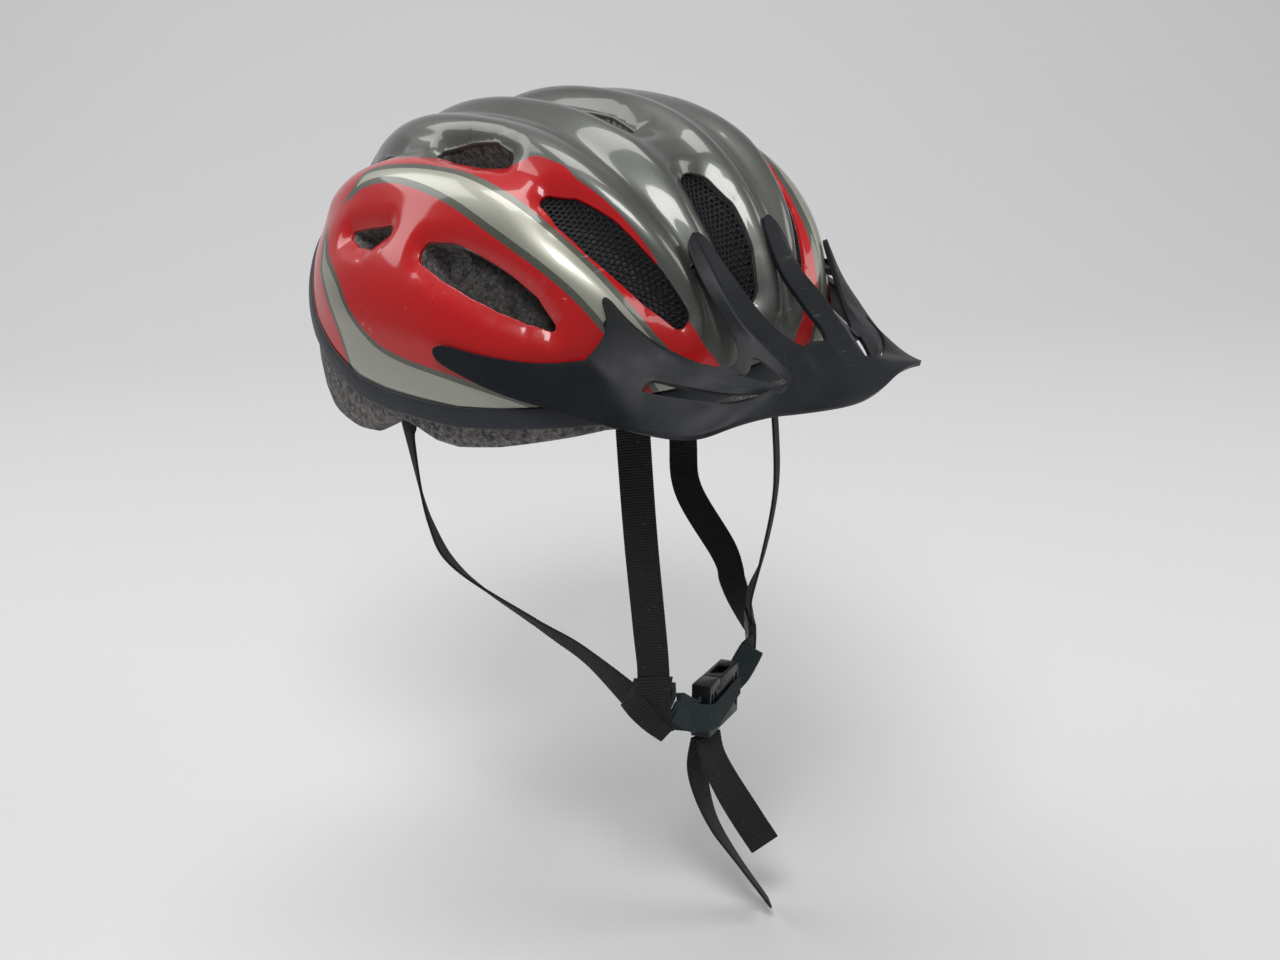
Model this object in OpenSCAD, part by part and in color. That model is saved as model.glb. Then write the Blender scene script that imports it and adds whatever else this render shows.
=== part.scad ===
// Bicycle helmet with a clip-on visor, chin straps and a side-release buckle.
// Millimetres. Z is up, the wearer faces -Y, and +X is the wearer's left.
// The origin is the middle of the head opening, level with the brow.
// Places on the shell are given on a chart, in degrees: p runs to the side, q to the front,
// and both are measured over the crown from the origin.

/* [Shell] */
// Width of the bare dome, without its ribs
shell_w = 220; // [204:1:240]
// Reach of the dome in front of the origin
front_reach = 122.6; // [114:0.2:132]
// Reach of the dome behind the origin
rear_reach = 135; // [126:0.5:146]
// Height of the dome over the origin
crown_h = 115.6; // [108:0.2:124]
// Squareness of the dome, 2 is an ellipsoid
squareness = 2.33; // [2.1:0.01:2.6]
// Share by which the dome narrows towards the brow
front_taper = 0.07; // [0:0.01:0.1]
// Wall of the outer shell
shell_t = 1.2; // [0.8:0.1:2]

/* [Ribs and valleys] */
// Height of the two inner ribs
inner_rib_h = 3.2; // [1:0.1:5]
// Height of the two outer ribs
outer_rib_h = 4.2; // [1:0.1:6]
// Height of the two side ribs
side_rib_h = 2.6; // [0.5:0.1:3.2]
// Depth of the valley along the crown
crown_valley = 7.5; // [2:0.1:9]
// Depth of the valley between outer and side ribs
side_valley = 3.4; // [1:0.1:6]
// Depth to which the skin dips at the edge of a vent
vent_dip = 2.6; // [0.5:0.1:4]
// Distance over which the skin dips, in degrees of the chart
vent_dip_w = 4.2; // [2:0.1:7]

/* [Rim] */
// How far the rim band stands proud of the dome
band_proud = 0.8; // [0.3:0.1:2]
// Height of the rim band, in degrees of the chart
band_h = 4.6; // [3:0.1:6]
// How far the foam is set back under the rim band
foam_setback = 2.4; // [1:0.1:5]
// How far the foam draws in at its lower edge
foam_edge_in = 7; // [4:0.5:10]

/* [Foam liner] */
// Thickness of the foam
liner_t = 24; // [18:0.5:30]
// Gap between the dots and the foam at their middles
pad_gap = 1.25; // [1.1:0.05:1.4]
// Depth of the recess in the front part of a side vent
recess_depth = 13; // [8:0.5:15]
// Thickness of a hook-and-loop dot
dot_t = 0.8; // [0.5:0.1:1.5]
// Diameter of a dot
dot_d = 10; // [8:0.5:11]
// Thickness of a fit pad
pad_t = 6; // [4:0.5:9]

/* [Insect net] */
// Thickness of the net
net_t = 1; // [0.6:0.1:1.6]
// Distance between neighbouring holes of the net
net_pitch = 6.2; // [4.6:0.1:7]
// Width of the strands of the net
net_strand = 1.7; // [0.9:0.1:2]
// Gap between the net and the foam round it
net_gap = 0.25; // [0.15:0.05:0.5]
// Gap between the net and the skin over it
net_below = 0.5; // [0.3:0.1:2]

/* [Visor] */
// Wall of the visor
visor_t = 2.2; // [1.6:0.1:2.6]
// Diameter of a visor peg
peg_d = 5; // [4:0.1:6]
// How deep a peg reaches into its bush
peg_reach = 8; // [5:0.5:9]
// Gap round a peg in its bush
peg_gap = 0.35; // [0.2:0.05:0.6]
// Wall of a visor bush
bush_wall = 1.6; // [1.2:0.1:2.4]
// How far a bush lies under the skin
bush_in = 1.5; // [1:0.1:3]
// Gap between a bush and the foam
bush_gap = 0.15; // [0.1:0.05:0.4]

/* [Straps] */
// Width of the webbing
web_w = 15; // [12:0.5:18]
// Thickness of the webbing
web_t = 1.4; // [1:0.1:2]
// Drop of the right divider below the origin
divider_drop = 143; // [132:1:156]
// Diameter of a strap anchor
anchor_d = 18; // [14:0.5:22]
// Thickness of a strap anchor
anchor_t = 4; // [3:0.5:6]
// How far an anchor stands out of the foam's inner face
anchor_proud = 1.3; // [1.2:0.1:1.8]
// Gap round an anchor in the foam
anchor_gap = 0.3; // [0.2:0.05:0.6]
// Thickness of a strap divider
divider_t = 4; // [3:0.5:6]
// Gap between a strap and the part that it meets
web_gap = 0.3; // [0.2:0.05:0.5]
// Length of the flat tail
flat_tail_l = 56; // [40:1:80]
// Length of the twisted tail
twisted_tail_l = 88; // [60:1:110]

/* [Buckle] */
// Width of the buckle across the webbing
buckle_w = 25; // [23:0.5:30]
// Thickness of the buckle
buckle_t = 9; // [8:0.5:12]
// Length of the buckle's socket, with its strap bar
socket_l = 26; // [24:0.5:32]
// Wall of the socket
socket_wall = 1.6; // [1.2:0.1:2.2]
// Length of the plug's head, which holds the ladder lock
plug_l = 14; // [13.5:0.5:18]
// Gap between the plug and the socket
buckle_gap = 0.4; // [0.3:0.05:0.6]
// Width of a prong
prong_w = 3; // [2:0.1:3.6]
// Length of a prong past its pivot
prong_l = 15; // [12:0.5:16]
// Diameter of a prong's pivot pin
pivot_d = 2; // [1.6:0.1:2.4]
// Width of a slot for the webbing
slot_w = 2.2; // [1.8:0.1:2.4]

/* [Hidden] */

// Widest chart reach of the shell, on which the ribs and columns are laid out
chart_side = 88;
// Azimuth at which the front and side edges of the chart grid meet
corner_az = 56;
// Rows of the chart grid, from rear to front
rows = 20;
// Columns of the chart grid, at the crests, valleys and flanks of the ribs
half_columns = [4.5, 9, 13.5, 18, 23, 28, 33, 40, 47, 54, 61, 69, 78, 88];
columns = concat([for (i = [len(half_columns) - 1 : -1 : 0]) -half_columns[i]], [0], half_columns);
// Chart reach of the shell's lower edge, by azimuth from the front
shell_rim = [[0, 83], [30, 85], [50, 86.7], [67, 88.2], [90, 88], [100, 87], [110, 83.5], [121, 78.5],
    [132, 71], [145, 66], [160, 64], [180, 64]];
// Chart reach of the foam's lower edge, by azimuth from the front
foam_rim = [[0, 91], [34, 92.5], [48, 95.6], [58, 98], [70, 100], [77, 99.6], [85, 97], [91, 96],
    [96, 98.6], [102, 102.4], [110, 103.2], [125, 102], [145, 98], [162, 94.5], [180, 93.5]];

// Vents as chains of [p, q, half width], for the wearer's left, which the right mirrors
front_center_vent = [[0, 45.5, 4.4], [0, 52, 5.9], [0, 60, 5.9], [0, 67.5, 4.6]];
crown_vent = [[0, -22, 2.6], [0, -6, 4], [0, 12, 4.2], [0, 20, 3.2]];
rear_center_vent = [[0, -41, 2.4], [0, -52, 3.4]];
front_side_vent = [[31.6, 31.2, 2], [30.4, 37, 3.9], [28.6, 45.5, 4.7], [26.8, 53, 4.4], [24.6, 60, 4],
    [21.6, 67.3, 2.7]];
side_vent = [[55.2, 9, 3], [54.5, 17, 4.5], [53.7, 27, 4.7], [52.2, 36, 4.3], [50.3, 44, 3.2], [49, 50.5, 1.2]];
top_side_vent = [[31, -9, 1.5], [30.5, 0, 3.4], [29.5, 8, 3.6], [28.6, 13.5, 2]];
rear_side_vent = [[52.2, -26.5, 1.2], [53.6, -21, 2.5], [54.2, -15, 3], [52.6, -9.5, 1.7]];
rear_rib_vent = [[15.5, -38, 1.6], [15, -47, 2.6], [14, -54, 1.8]];
rear_top_vent = [[31, -27, 1.4], [29, -37, 2.8], [26, -46, 2]];
paired_vents = [front_side_vent, side_vent, top_side_vent, rear_side_vent, rear_rib_vent, rear_top_vent];
all_vents = concat([front_center_vent, crown_vent, rear_center_vent], paired_vents);

// Fit pads as [p, q, half width, half length]
brow_pad_at = [0, 78.5, 26, 5];
crown_pad_at = [15.5, 6, 5.5, 26];
side_pad_at = [69, 12, 5.5, 22];
rear_pad_at = [24, -70, 11, 6];
// Gap between a dot and its pad
dot_gap = 0.6;
// Dots as [p, q], under the pads
dots_at = [[0, 78.5], [19, 76.5], [15.5, -10], [15.5, 22], [69, 0], [69, 24], [24, -70]];

// Visor pegs as [p, q, height of the visor over the dome], on a finger and on a horn
pegs_at = [[12.6, 62, 6.1], [36.2, 61.2, 6.5]];
// How far a visor peg stays from the bottom of its bush
peg_end_gap = 0.8;
// How far the cut for a pocket starts outside the face it opens in
cut_over = 8;
bush_l = peg_reach + peg_end_gap + bush_wall;
bush_bore = peg_d + 2 * peg_gap;
bush_d = bush_bore + 2 * bush_wall;

// Chart places of the strap anchors
front_anchor_at = [36.8, 75.5];
rear_anchor_at = [89.4, -25.6];
// Middles of the strap dividers, and how far each is turned about the vertical
right_divider = [-40, -90, -divider_drop];
left_divider = [44, -66, -3 - divider_drop];
divider_turn = 52;
divider_w = web_w + 5;
divider_up = 10;
divider_down = 11;

// The buckle's middle, where plug and socket meet, and how the buckle is turned
buckle_center = [8, -82, -16 - divider_drop];
buckle_yaw = 27;
buckle_pitch = 8;
plug_root = -socket_l / 2;
socket_end = socket_l / 2;
bay_w = buckle_w - 2 * socket_wall;
bay_t = buckle_t - 2 * socket_wall;
tongue_w = 6;
tongue_t = bay_t - 2 * buckle_gap;
bar_w = 2;
// Prong pivots, measured from the plug's face and from the buckle's middle line
pivot_x = plug_root - 2.2;
pivot_z = bay_w / 2 - buckle_gap - prong_w / 2 - 0.6;

// Small helpers
function clamp(x, low, high) = max(low, min(high, x));
function smooth(a, b, x) = let (t = clamp((x - a) / (b - a), 0, 1)) t * t * (3 - 2 * t);
function bump(x, center, width) = exp(-pow((x - center) / width, 2));
function tanh(x) = let (e = exp(2 * x)) (e - 1) / (e + 1);
function unit(v) = v / norm(v);
function mix(a, b, t) = a + (b - a) * t;
function flat(list) = [for (row = list) for (item = row) item];
function total(vectors) = [for (v = vectors) 1] * vectors;
function mirrored(v) = [-v.x, v.y, v.z];

// The dome
function chart_direction(p, q) =
    let (r = norm([p, q]))
    r < 0.01 ? [0, 0, 1] : [sin(r) * p / r, -sin(r) * q / r, cos(r)];
function dome_radius(d) =
    let (
        side = shell_w / 2 * (1 + front_taper * d.y),
        long = mix(front_reach, rear_reach, (1 + tanh(3 * d.y)) / 2)
    )
    pow(pow(abs(d.x) / side, squareness) + pow(abs(d.y) / long, squareness)
        + pow(abs(d.z) / crown_h, squareness), -1 / squareness);
function on_dome(p, q, offset) =
    let (d = chart_direction(p, q))
    d * (dome_radius(d) + offset);
function azimuth(p, q) = abs(atan2(p, q));
function dome_normal(p, q) =
    unit(cross(on_dome(p, q + 1, 0) - on_dome(p, q - 1, 0), on_dome(p + 1, q, 0) - on_dome(p - 1, q, 0)));

// Ribs, valleys and vents
function link_distance(p, q, a, b) =
    let (
        ab = [b[0] - a[0], b[1] - a[1]],
        t = clamp(([p - a[0], q - a[1]] * ab) / (ab * ab), 0, 1)
    )
    norm([p - a[0] - ab[0] * t, q - a[1] - ab[1] * t]) - mix(a[2], b[2], t);
function vent_distance(p, q, vent) =
    min([for (i = [0 : len(vent) - 2]) link_distance(p, q, vent[i], vent[i + 1])]);
function nearest_vent(p, q) = min([for (vent = all_vents) vent_distance(p, q, vent)]);
function inner_rib_p(q) = 9.2 - 1.6 * smooth(20, 75, q) - 2 * smooth(20, 70, -q);
function outer_rib_p(q) = 23.4 - 5.5 * smooth(30, 75, q) - 7 * smooth(0, 70, -q);
function side_rib_p(q) = 40.5 - 9 * smooth(35, 75, q) - 3 * smooth(5, 50, -q);
function ribs(p, q) =
    inner_rib_h * bump(p, inner_rib_p(q), 3.8)
    + outer_rib_h * bump(p, outer_rib_p(q), 4.4) * (1 - 0.5 * smooth(50, 75, q))
    + side_rib_h * bump(p, side_rib_p(q), 5);
function valleys(p, q) =
    crown_valley * bump(p, 0, 5.6) * smooth(-62, -30, q) * (1 - smooth(20, 33, q))
    + 2.2 * bump(p, 0, 5) * smooth(38, 46, q)
    + side_valley * bump(p, 30, 4.4) * smooth(-55, -15, q) * (1 - 0.6 * smooth(15, 30, q))
    + 2.2 * bump(p, 53, 6.5) * bump(q, 27, 26)
    + 2.6 * bump(p, 53, 5) * bump(q, -20, 13)
    + 1.6 * bump(p, (inner_rib_p(q) + outer_rib_p(q)) / 2, 2.4);
function relief(p, q) =
    let (
        side = abs(p),
        edge = norm([p, q]) / lookup(azimuth(p, q), shell_rim),
        calm = 1 - smooth(0.84, 0.99, edge)
    )
    calm * (ribs(side, q) - valleys(side, q) + 1.4 * bump(side, 68, 8)
        - vent_dip * (1 - smooth(0, vent_dip_w, nearest_vent(side, q))));
function on_skin(p, q, offset) = on_dome(p, q, relief(p, q) + offset);

// The chart grid, whose columns follow the ribs and whose border is the rim
function rim_point(az, rear = false) =
    let (
        turn = rear ? 180 - abs(az) : abs(az),
        r = lookup(turn, shell_rim)
    )
    [(az < 0 ? -1 : 1) * r * sin(turn), r * cos(turn)];
function end_az(u) = asin(u * sin(corner_az));
function grid_point(u, v) =
    let (
        side = rim_point(90 - (90 - corner_az) * v),
        t = (v + 1) / 2,
        front = rim_point(end_az(u)),
        rear = rim_point(end_az(u), true),
        front_corner = rim_point(corner_az),
        rear_corner = rim_point(180 - corner_az)
    )
    [
        u * side[0] + t * (front[0] - u * front_corner[0]) + (1 - t) * (rear[0] - u * rear_corner[0]),
        side[1] + t * (front[1] - front_corner[1]) + (1 - t) * (rear[1] - rear_corner[1])
    ];
grid = [for (c = columns) [for (j = [0 : rows]) grid_point(c / chart_side, 2 * j / rows - 1)]];

// The numbers of the points round the border of a grid, given its columns and rows
function border(columns_n, rows_n) = concat(
    [for (i = [0 : columns_n - 2]) i * rows_n],
    [for (j = [0 : rows_n - 2]) (columns_n - 1) * rows_n + j],
    [for (i = [columns_n - 1 : -1 : 1]) i * rows_n + rows_n - 1],
    [for (j = [rows_n - 1 : -1 : 1]) j]
);
rim_loop = border(len(columns), rows + 1);
rim_chart = let (points = flat(grid)) [for (k = rim_loop) points[k]];

// Two triangles for each cell of a grid of points, turned over for the far side of a wall
function grid_faces(columns_n, rows_n, first, over) = flat([
    for (i = [0 : columns_n - 2]) for (j = [0 : rows_n - 2])
        let (
            a = first + i * rows_n + j,
            b = a + rows_n
        )
        over ? [[a, a + 1, b + 1], [a, b + 1, b]] : [[a, b + 1, a + 1], [a, b, b + 1]]
]);
// Two triangles for each place on a strip between two loops of point numbers
function loop_faces(upper, lower, over = false) = flat([
    for (i = [0 : len(upper) - 1])
        let (k = (i + 1) % len(upper))
        over
            ? [[upper[i], lower[k], lower[i]], [upper[i], upper[k], lower[k]]]
            : [[upper[i], lower[i], lower[k]], [upper[i], lower[k], upper[k]]]
]);
// The numbers of the points on ring k, where each ring has count points
function ring(first, count, k) = [for (i = [0 : count - 1]) first + k * count + i];

// A closed wall between two grids of points, the outer one first
module wall_solid(outer, inner) {
    columns_n = len(outer);
    rows_n = len(outer[0]);
    size = columns_n * rows_n;
    edge = border(columns_n, rows_n);
    polyhedron(
        points = concat(flat(outer), flat(inner)),
        faces = concat(
            grid_faces(columns_n, rows_n, 0, false),
            grid_faces(columns_n, rows_n, size, true),
            loop_faces(edge, [for (k = edge) k + size])
        )
    );
}

module both_sides() {
    children();
    mirror([1, 0, 0]) children();
}

// A cone along a chart direction, as wide as an angle
module chart_cone(p, q, half_angle, low, high, grow, sides) {
    rotate([0, norm([p, q]), atan2(-q, p)])
        translate([0, 0, low])
        cylinder(h = high - low, r1 = low * tan(half_angle) + grow, r2 = high * tan(half_angle) + grow,
            $fn = sides);
}

// The tunnel of one vent, through shell and foam
module vent_tunnel(vent, grow = 0) {
    for (i = [0 : len(vent) - 2])
        hull() {
            chart_cone(vent[i][0], vent[i][1], vent[i][2], 50, 150, grow, 10);
            chart_cone(vent[i + 1][0], vent[i + 1][1], vent[i + 1][2], 50, 150, grow, 10);
        }
}

module vent_tunnels(vents = paired_vents) {
    vent_tunnel(front_center_vent);
    vent_tunnel(crown_vent);
    vent_tunnel(rear_center_vent);
    for (vent = vents)
        both_sides() vent_tunnel(vent);
}

// The side vent goes through the foam at its rear end only, and is a recess in front of that
module side_recess() {
    through = [side_vent[0], side_vent[1]];
    floor_r = dome_radius(chart_direction(side_vent[3][0], side_vent[3][1])) - recess_depth;
    vent_tunnel(through);
    difference() {
        vent_tunnel(side_vent);
        sphere(r = floor_r, $fn = 96);
    }
}

// A round bar along the way in which the visor pulls off, measured from the skin
module peg_bar(at, d, from, to) {
    start = on_skin(at[0], at[1], 0);
    translate([start.x, start.y + from, start.z])
        rotate([-90, 0, 0])
        cylinder(h = to - from, d = d, $fn = 24);
}
// The holes for the bushes, open through the skin
module bush_pockets() {
    both_sides()
        for (at = pegs_at)
            peg_bar(at, bush_d + 2 * bush_gap, -cut_over, bush_in + bush_l + bush_gap);
}

module outer_shell() {
    color([0.55, 0.14, 0.13])
        difference() {
            wall_solid(
                [for (column = grid) [for (c = column) on_skin(c[0], c[1], 0)]],
                [for (column = grid) [for (c = column) on_skin(c[0], c[1], -shell_t)]]
            );
            vent_tunnels();
            bush_pockets();
        }
}

// A place below the shell's rim, further round the dome by some degrees
function below_rim(chart, drop, offset) =
    let (share = 1 + drop / norm(chart))
    on_dome(chart[0] * share, chart[1] * share, offset);
function foam_drop(chart) = lookup(azimuth(chart[0], chart[1]), foam_rim) - norm(chart);

module rim_band() {
    n = len(rim_chart);
    rings = [
        [for (c = rim_chart) below_rim(c, 0, -shell_t)],
        [for (c = rim_chart) below_rim(c, 0, band_proud)],
        [for (c = rim_chart) below_rim(c, band_h, band_proud)],
        [for (c = rim_chart) below_rim(c, band_h, -shell_t)]
    ];
    color([0.10, 0.10, 0.11])
        polyhedron(
            points = flat(rings),
            faces = concat(
                loop_faces(ring(0, n, 1), ring(0, n, 0), true),
                loop_faces(ring(0, n, 1), ring(0, n, 2)),
                loop_faces(ring(0, n, 2), ring(0, n, 3)),
                loop_faces(ring(0, n, 0), ring(0, n, 3), true)
            )
        );
}

// The foam's outside as one closed body, with a flat cone up to the origin underneath
module foam_body() {
    n = len(rim_chart);
    size = len(columns) * (rows + 1);
    rings = [
        [for (c = rim_chart) below_rim(c, band_h, -shell_t)],
        [for (c = rim_chart) below_rim(c, band_h + 0.4, -shell_t - foam_setback)],
        [for (c = rim_chart) below_rim(c, mix(band_h, foam_drop(c), 0.6), -shell_t - foam_setback - 1)],
        [for (c = rim_chart) below_rim(c, foam_drop(c), -shell_t - foam_edge_in)]
    ];
    last = ring(size, n, 3);
    apex = size + 4 * n;
    polyhedron(
        points = concat(
            flat([for (column = grid) [for (c = column) on_skin(c[0], c[1], -shell_t)]]),
            flat(rings),
            [[0, 0, -6]]
        ),
        faces = concat(
            grid_faces(len(columns), rows + 1, 0, false),
            loop_faces(rim_loop, ring(size, n, 0)),
            loop_faces(ring(size, n, 0), ring(size, n, 1)),
            loop_faces(ring(size, n, 1), ring(size, n, 2)),
            loop_faces(ring(size, n, 2), last),
            [for (i = [0 : n - 1]) [last[i], apex, last[(i + 1) % n]]]
        )
    );
}

// The room for the head, which also clears the whole opening below
module head_room() {
    around = 40;
    steps = 15;
    size = around * (steps - 1);
    function room_ring(k) = [for (i = [0 : around - 1])
        let (
            r = k * 180 / steps,
            a = i * 360 / around
        )
        on_dome(r * sin(a), r * cos(a), -liner_t)];
    polyhedron(
        points = concat(
            flat([for (k = [1 : steps - 1]) room_ring(k)]),
            [on_dome(0, 0, -liner_t), [0, 0, liner_t - crown_h]]
        ),
        faces = concat(
            flat([for (k = [0 : steps - 3]) loop_faces(ring(0, around, k), ring(0, around, k + 1), true)]),
            [for (i = [0 : around - 1]) [size, (i + 1) % around, i]],
            [for (i = [0 : around - 1])
                [size + 1, (steps - 2) * around + i, (steps - 2) * around + (i + 1) % around]]
        )
    );
}

// A disc square to the foam's inner face; from and to run outwards from that face
module inner_disc(at, d, from, to) {
    out = dome_normal(at[0], at[1]);
    translate(on_dome(at[0], at[1], -liner_t))
        rotate([0, acos(out.z), atan2(out.y, out.x)])
        translate([0, 0, from])
        cylinder(h = to - from, d = d, $fn = 32);
}
// The pocket for a strap anchor
module anchor_pocket(at) {
    inner_disc(at, anchor_d + 2 * anchor_gap, -cut_over, anchor_t + anchor_gap);
}

module foam_liner() {
    color([0.27, 0.27, 0.27])
        difference() {
            foam_body();
            head_room();
            vent_tunnels([for (vent = paired_vents) if (vent != side_vent) vent]);
            both_sides() side_recess();
            bush_pockets();
            both_sides() {
                anchor_pocket(front_anchor_at);
                anchor_pocket(rear_anchor_at);
            }
        }
}

// A thin curved sheet under the skin, a little larger than a vent
module net_sheet(vent) {
    low = [min([for (v = vent) v[0] - v[2]]) - 1, min([for (v = vent) v[1] - v[2]]) - 1];
    high = [max([for (v = vent) v[0] + v[2]]) + 1, max([for (v = vent) v[1] + v[2]]) + 1];
    across = 4;
    along = 8;
    function sheet(offset) = [for (i = [0 : across]) [for (j = [0 : along])
        on_skin(mix(low[0], high[0], i / across), mix(low[1], high[1], j / along), offset)]];
    wall_solid(sheet(-shell_t - net_below), sheet(-shell_t - net_below - net_t));
}

// One net: the sheet cut to the tunnel of its vent, with staggered rows of six-sided holes
module insect_net(vent) {
    middle = vent[2];
    step = net_pitch / dome_radius(chart_direction(middle[0], middle[1])) * 180 / PI;
    lean = len(vent) > 4 ? (vent[1][0] - vent[4][0]) / (vent[4][1] - vent[1][1]) : 0;
    color([0.05, 0.05, 0.06])
        difference() {
            intersection() {
                net_sheet(vent);
                vent_tunnel(vent, -net_gap);
            }
            for (row = [-14 : 14])
                for (place = [-3 : 3]) {
                    q = middle[1] + row * step * sin(60);
                    p = middle[0] - (q - middle[1]) * lean + (place + (row % 2 == 0 ? 0 : 0.5)) * step;
                    if (vent_distance(p, q, vent) < -0.6 * step)
                        hull() chart_cone(p, q, 0.01, 90, 140, (net_pitch - net_strand) / 2, 6);
                }
        }
}

module insect_net_center() { insect_net(front_center_vent); }
module insect_net_left() { insect_net(front_side_vent); }
module insect_net_right() { mirror([1, 0, 0]) insect_net(front_side_vent); }

// A pad against the foam's inner face, full in the middle and drawn in at its sides
module pad(at, across = 6, along = 6) {
    function spread(i, count) = sin(180 * i / count - 90);
    function pad_place(a, b, offset) =
        let (
            p = at[0] + at[2] * a * sqrt(1 - 0.35 * b * b),
            q = at[1] + at[3] * b * sqrt(1 - 0.35 * a * a) - (at[0] == 0 ? 0.006 * p * p : 0)
        )
        on_dome(p, q, offset);
    function fullness(a, b) = 0.3 + 0.7 * sqrt(max(0, (1 - pow(a, 6)) * (1 - pow(b, 6))));
    back = -liner_t - pad_gap - dot_t - dot_gap;
    color([0.13, 0.13, 0.15])
        wall_solid(
            [for (i = [0 : across]) [for (j = [0 : along])
                pad_place(spread(i, across), spread(j, along), back)]],
            [for (i = [0 : across]) [for (j = [0 : along])
                let (a = spread(i, across), b = spread(j, along))
                pad_place(a, b, back - pad_t * fullness(a, b))]]
        );
}

module brow_pad() { pad(brow_pad_at, 10, 4); }
module crown_pad_left() { pad(crown_pad_at, 4, 8); }
module crown_pad_right() { mirror([1, 0, 0]) pad(crown_pad_at, 4, 8); }
module side_pad_left() { pad(side_pad_at, 4, 8); }
module side_pad_right() { mirror([1, 0, 0]) pad(side_pad_at, 4, 8); }
module rear_pad_left() { pad(rear_pad_at); }
module rear_pad_right() { mirror([1, 0, 0]) pad(rear_pad_at); }

// The dots lie between the foam and the pads
module pad_dot(at) {
    inner_disc(at, dot_d, -pad_gap - dot_t, -pad_gap);
}

module pad_dots() {
    color([0.2, 0.2, 0.2])
        for (at = dots_at) {
            pad_dot(at);
            if (at[0] != 0) mirror([1, 0, 0]) pad_dot(at);
        }
}

// Lines of the visor as [p, q, height over the dome], for the wearer's left.
// The skirt runs from the tip of the arm round the brim to the middle, along two lines.
skirt_top = [[72, 23.3, 3.9], [70.2, 25.8, 3.9], [68.7, 30.8, 3.9], [65.8, 38.6, 3.8], [61.3, 46.6, 3.7],
    [56.1, 53.3, 4], [51.7, 57.3, 5], [46.9, 60.8, 8.5], [45.3, 64.4, 11.5], [43.5, 67.6, 14.5],
    [39.6, 72.1, 19], [35.5, 75.2, 25], [31.7, 77.4, 29.6], [26.8, 80.1, 33], [23.2, 81.3, 35.6],
    [18.4, 81.9, 39], [15.2, 82.1, 41], [13.3, 82, 41], [11.3, 81.9, 40.7], [9.7, 81.5, 40],
    [3.2, 79, 34], [0, 78.7, 29]];
skirt_foot = [[73.5, 24.5, 3.8], [73.9, 27.4, 3.8], [73, 32.9, 4], [71, 41.7, 4.4], [67.1, 50.9, 5.4],
    [62.1, 58.7, 7.2], [56.6, 65.4, 11], [51.2, 70.9, 18], [48.8, 72.9, 22], [46.4, 74.6, 26],
    [44.1, 76, 30], [41.6, 77.5, 34], [39.2, 78.8, 38], [35.1, 80.3, 44.7], [31.8, 81, 46.5],
    [28.1, 81.9, 46.6], [22.9, 83.2, 46.8], [20, 83.8, 47.6], [17.4, 84.4, 48.6], [15, 85, 49.7],
    [7.3, 86.2, 54.2], [0, 86.6, 57]];
// A horn from its tip down: beside the window, on the crease, and along its outer edge
horn_inside = [[35.1, 56, 5.4], [34.4, 61.1, 6.2], [31.6, 67.5, 8.6], [29.6, 70, 10.6], [27.8, 72.1, 13],
    [25.2, 74.8, 17], [21.9, 76.8, 21.5], [20.2, 78.4, 27], [17, 80.2, 33.5]];
horn_crease = [[35.9, 55.2, 5.6], [35, 61.6, 6.8], [31.8, 68.1, 10], [29.9, 70.6, 12.2], [28.9, 71.9, 14.4],
    [27.2, 74.8, 19.4], [25.4, 77, 25], [23.4, 78.6, 31], [19.6, 80.3, 37]];
horn_outside = [[37.2, 54.8, 5.4], [38.4, 60.8, 6.8], [38.2, 66.4, 10.5], [37.6, 69, 13.2], [36.6, 71.4, 16.5],
    [33.2, 74.4, 21.5], [29.4, 76.8, 27.5], [25.6, 79, 32.5], [21, 80.9, 37.6]];
// A finger from its tip down: beside the window, on its ridge, and beside the middle
finger_outside = [[13.2, 55.8, 3.9], [14.2, 58.2, 4.2], [14.6, 61.3, 4.6], [14.8, 64.7, 6.2], [14.8, 68.1, 9],
    [15.2, 71, 13.2], [15.4, 74.4, 19.5], [14.6, 77, 26.5], [13, 79.6, 33.5]];
finger_ridge = [[11.4, 54.9, 4.3], [11.3, 58.4, 5.6], [11.5, 62, 7.2], [12, 65.6, 9.6], [12.6, 68.6, 13.4],
    [13.2, 71.6, 18.4], [12.6, 74.4, 23.4], [11.6, 76.9, 28.8], [10.8, 79.4, 35]];
finger_inside = [[9.4, 55.3, 4.2], [8.5, 57.6, 4.4], [7.8, 60.9, 5], [7.2, 64.2, 6.8], [6.6, 67.6, 9.4],
    [6.6, 71, 14.5], [6.3, 73.8, 19.5], [5.8, 76, 25], [5, 77.8, 30.5]];
// The bar under the window, between the horn and the finger, above and below
bar_top = [[19.4, 77.8, 24.4], [17.2, 77.2, 25]];
bar_foot = [[18.9, 79.2, 28.8], [16.4, 78.8, 29.4]];

visor_lines = [skirt_top, skirt_foot, horn_inside, horn_crease, horn_outside,
    finger_outside, finger_ridge, finger_inside, bar_top, bar_foot];
visor_count = len(flat(visor_lines));
// The number of a point, from its line and its place on it
function points_before(line) = line == 0 ? 0 : points_before(line - 1) + len(visor_lines[line - 1]);
function skirt(line, i) = points_before(line) + i;
// The last row of a horn or a finger lies on the skirt's upper line
function horn(line, i) = i < len(horn_inside) ? points_before(2 + line) + i : 17 - line;
function finger(line, i) = i < len(finger_inside) ? points_before(5 + line) + i : 18 + line;
function bar(line, i) = points_before(8 + line) + i;

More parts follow.
